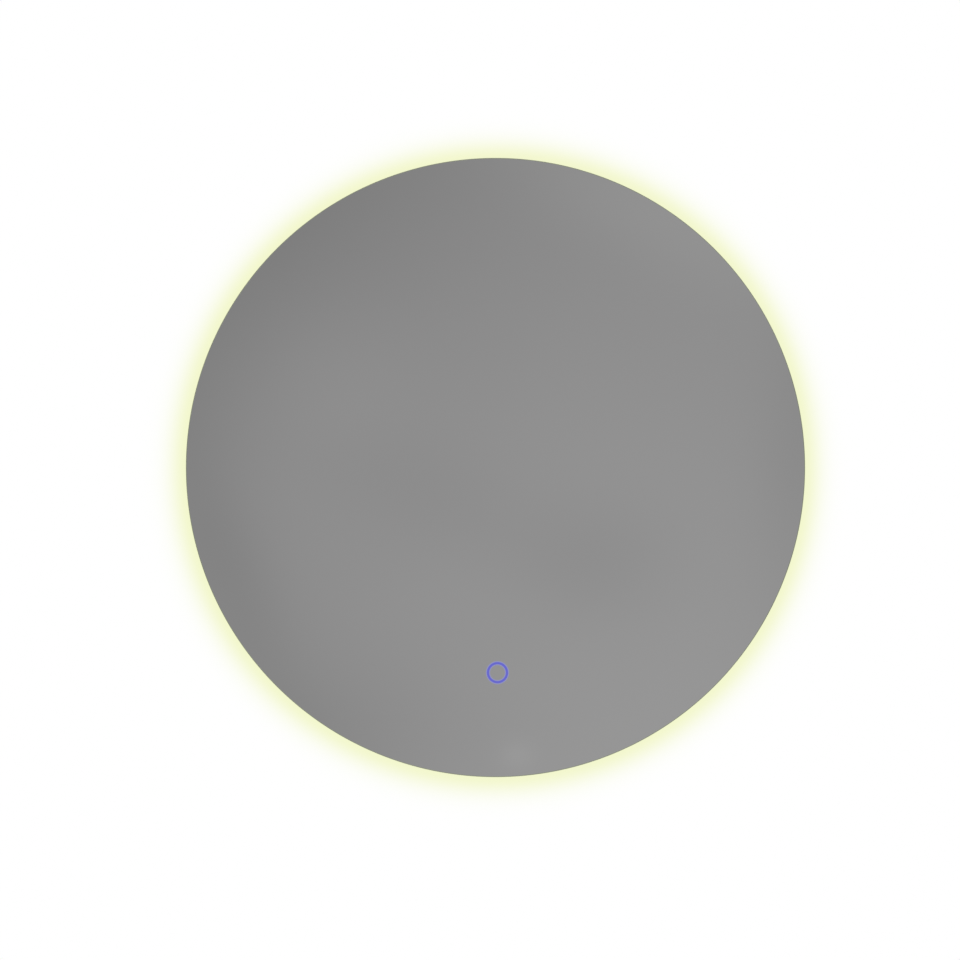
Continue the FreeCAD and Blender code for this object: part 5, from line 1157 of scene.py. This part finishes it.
def set_world(stage):
    """White where the camera sees it; metal sees a pale room behind and a grey one in front."""
    world = bpy.data.worlds.new("Studio")
    bpy.context.scene.world = world
    tree = emptied(world)
    x, y, z = tree.split(tree.add("TexCoord").outputs["Generated"])
    depth = tree.math("MAXIMUM", abs(y), 0.03)
    reach = (GLASS_FRONT - stage.camera_y) / PANE_RADIUS
    across = x / depth * reach + stage.camera_x / PANE_RADIUS
    up = z / depth * reach + stage.camera_z / PANE_RADIUS
    room = ROOM_TONE
    for place, (slope, bend) in ((across, ROOM_ACROSS), (up, ROOM_UP)):
        clamped = tree.add("Clamp", {"Value": place, "Min": -ROOM_LIMIT, "Max": ROOM_LIMIT})
        near = Value(tree, clamped.outputs[0])
        room = near * slope + near * near * bend + room
    for middle, width, height, lean, level in ROOM_PATCHES:
        room = room + tree.effect(
            "soft_patch", Across=across, Up=up, Middle=(*middle, 0.0), Width=width, Height=height,
            Lean=math.radians(lean), Level=level)["Light"]
    room = room + tree.spread(y, -0.95, -0.15, 0.0, 0.30, smooth=True)
    behind = tree.spread(z, -0.7, 0.8, 0.36, 0.98, smooth=True) + tree.spread(
        x, -0.6, 0.6, -0.10, 0.14, smooth=True)
    seen = tree.mix(tree.spread(y, -0.15, 0.15, smooth=True), room, behind)
    path = tree.add("LightPath").outputs
    white = tree.math("MAXIMUM", path["Is Camera Ray"], path["Is Transmission Ray"])
    level = tree.mix(white, tree.mix(path["Is Glossy Ray"], stage.fill, seen), 1.0)
    light = tree.add("Background", {"Color": WHITE, "Strength": level})
    tree.add("OutputWorld", {"Surface": light.outputs[0]})


def area_lamp(name, place, size, power):
    """A soft lamp turned toward the middle of the mirror, seen neither directly nor in metal."""
    light = bpy.data.lights.new(name, "AREA")
    light.shape = "DISK"
    light.size = size
    light.energy = power
    lamp = placed(name, light)
    lamp.location = place
    lamp.rotation_mode = "QUATERNION"
    lamp.rotation_quaternion = (AXIS - Vector(place)).to_track_quat("-Z", "Y")
    lamp.visible_camera = False
    lamp.visible_glossy = False


class MIRROR_OT_stage(bpy.types.Operator):
    """Set the wall, the floor, the lamps and the camera"""
    bl_idname = "mirror.stage"
    bl_label = "Wall, Light and Camera"

    def execute(self, context):
        stage = context.scene.mirror_stage
        half = stage.wall_size / 2
        corners = [(AXIS.x + across * half, stage.wall_gap, AXIS.z + up * half)
                   for across, up in ((-1, -1), (1, -1), (1, 1), (-1, 1))]
        wall = plane("wall", corners, wall_paint(context.scene.mirror_halo))
        for ray in ("diffuse", "glossy", "transmission", "shadow"):
            setattr(wall, "visible_" + ray, False)
        reach = stage.floor_radius
        plane("floor", [
            (reach * math.cos(turn), reach * math.sin(turn), -stage.floor_drop)
            for turn in (2 * math.pi * step / FLOOR_STEPS for step in range(FLOOR_STEPS))],
            floor_paint(stage))
        set_world(stage)
        area_lamp("key_lamp", (-1.1, -1.9, 1.0), 1.0, stage.key_power)
        area_lamp("rear_lamp", (1.5, 1.5, 1.3), 0.7, stage.rear_power)
        lens = bpy.data.cameras.new("camera")
        lens.lens = stage.lens
        lens.sensor_width = 36.0
        camera = placed("camera", lens)
        camera.location = (AXIS.x + stage.camera_x, stage.camera_y, AXIS.z + stage.camera_z)
        camera.rotation_euler = (math.pi / 2, 0.0, 0.0)
        context.scene.camera = camera
        context.scene.view_settings.view_transform = "Standard"
        return {"FINISHED"}


OPERATORS = [
    MIRROR_OT_pane, MIRROR_OT_ring_frame, MIRROR_OT_halo_light, MIRROR_OT_back_plate,
    MIRROR_OT_driver, MIRROR_OT_terminal_box, MIRROR_OT_touch_switch, MIRROR_OT_hanging,
    MIRROR_OT_wiring, MIRROR_OT_stage,
]


class MIRROR_PT_panel(bpy.types.Panel):
    """Lists the pieces and their settings"""
    bl_idname = "MIRROR_PT_panel"
    bl_label = "Lighted Mirror"
    bl_space_type = "VIEW_3D"
    bl_region_type = "UI"
    bl_category = "Mirror"

    def draw(self, context):
        for operator in OPERATORS:
            self.layout.operator(operator.bl_idname)
        for name, group in SETTINGS.items():
            box = self.layout.box()
            for word in group.__annotations__:
                box.prop(getattr(context.scene, name), word)


CLASSES = [*SETTINGS.values(), *OPERATORS, MIRROR_PT_panel]


def register():
    for item in CLASSES:
        bpy.utils.register_class(item)
    for name, group in SETTINGS.items():
        setattr(bpy.types.Scene, name, PointerProperty(type=group))


def unregister():
    for name in SETTINGS:
        delattr(bpy.types.Scene, name)
    for item in reversed(CLASSES):
        bpy.utils.unregister_class(item)


def main():
    register()
    for operator in OPERATORS:
        group, name = operator.bl_idname.split(".")
        getattr(getattr(bpy.ops, group), name)()


if __name__ == "__main__":
    main()
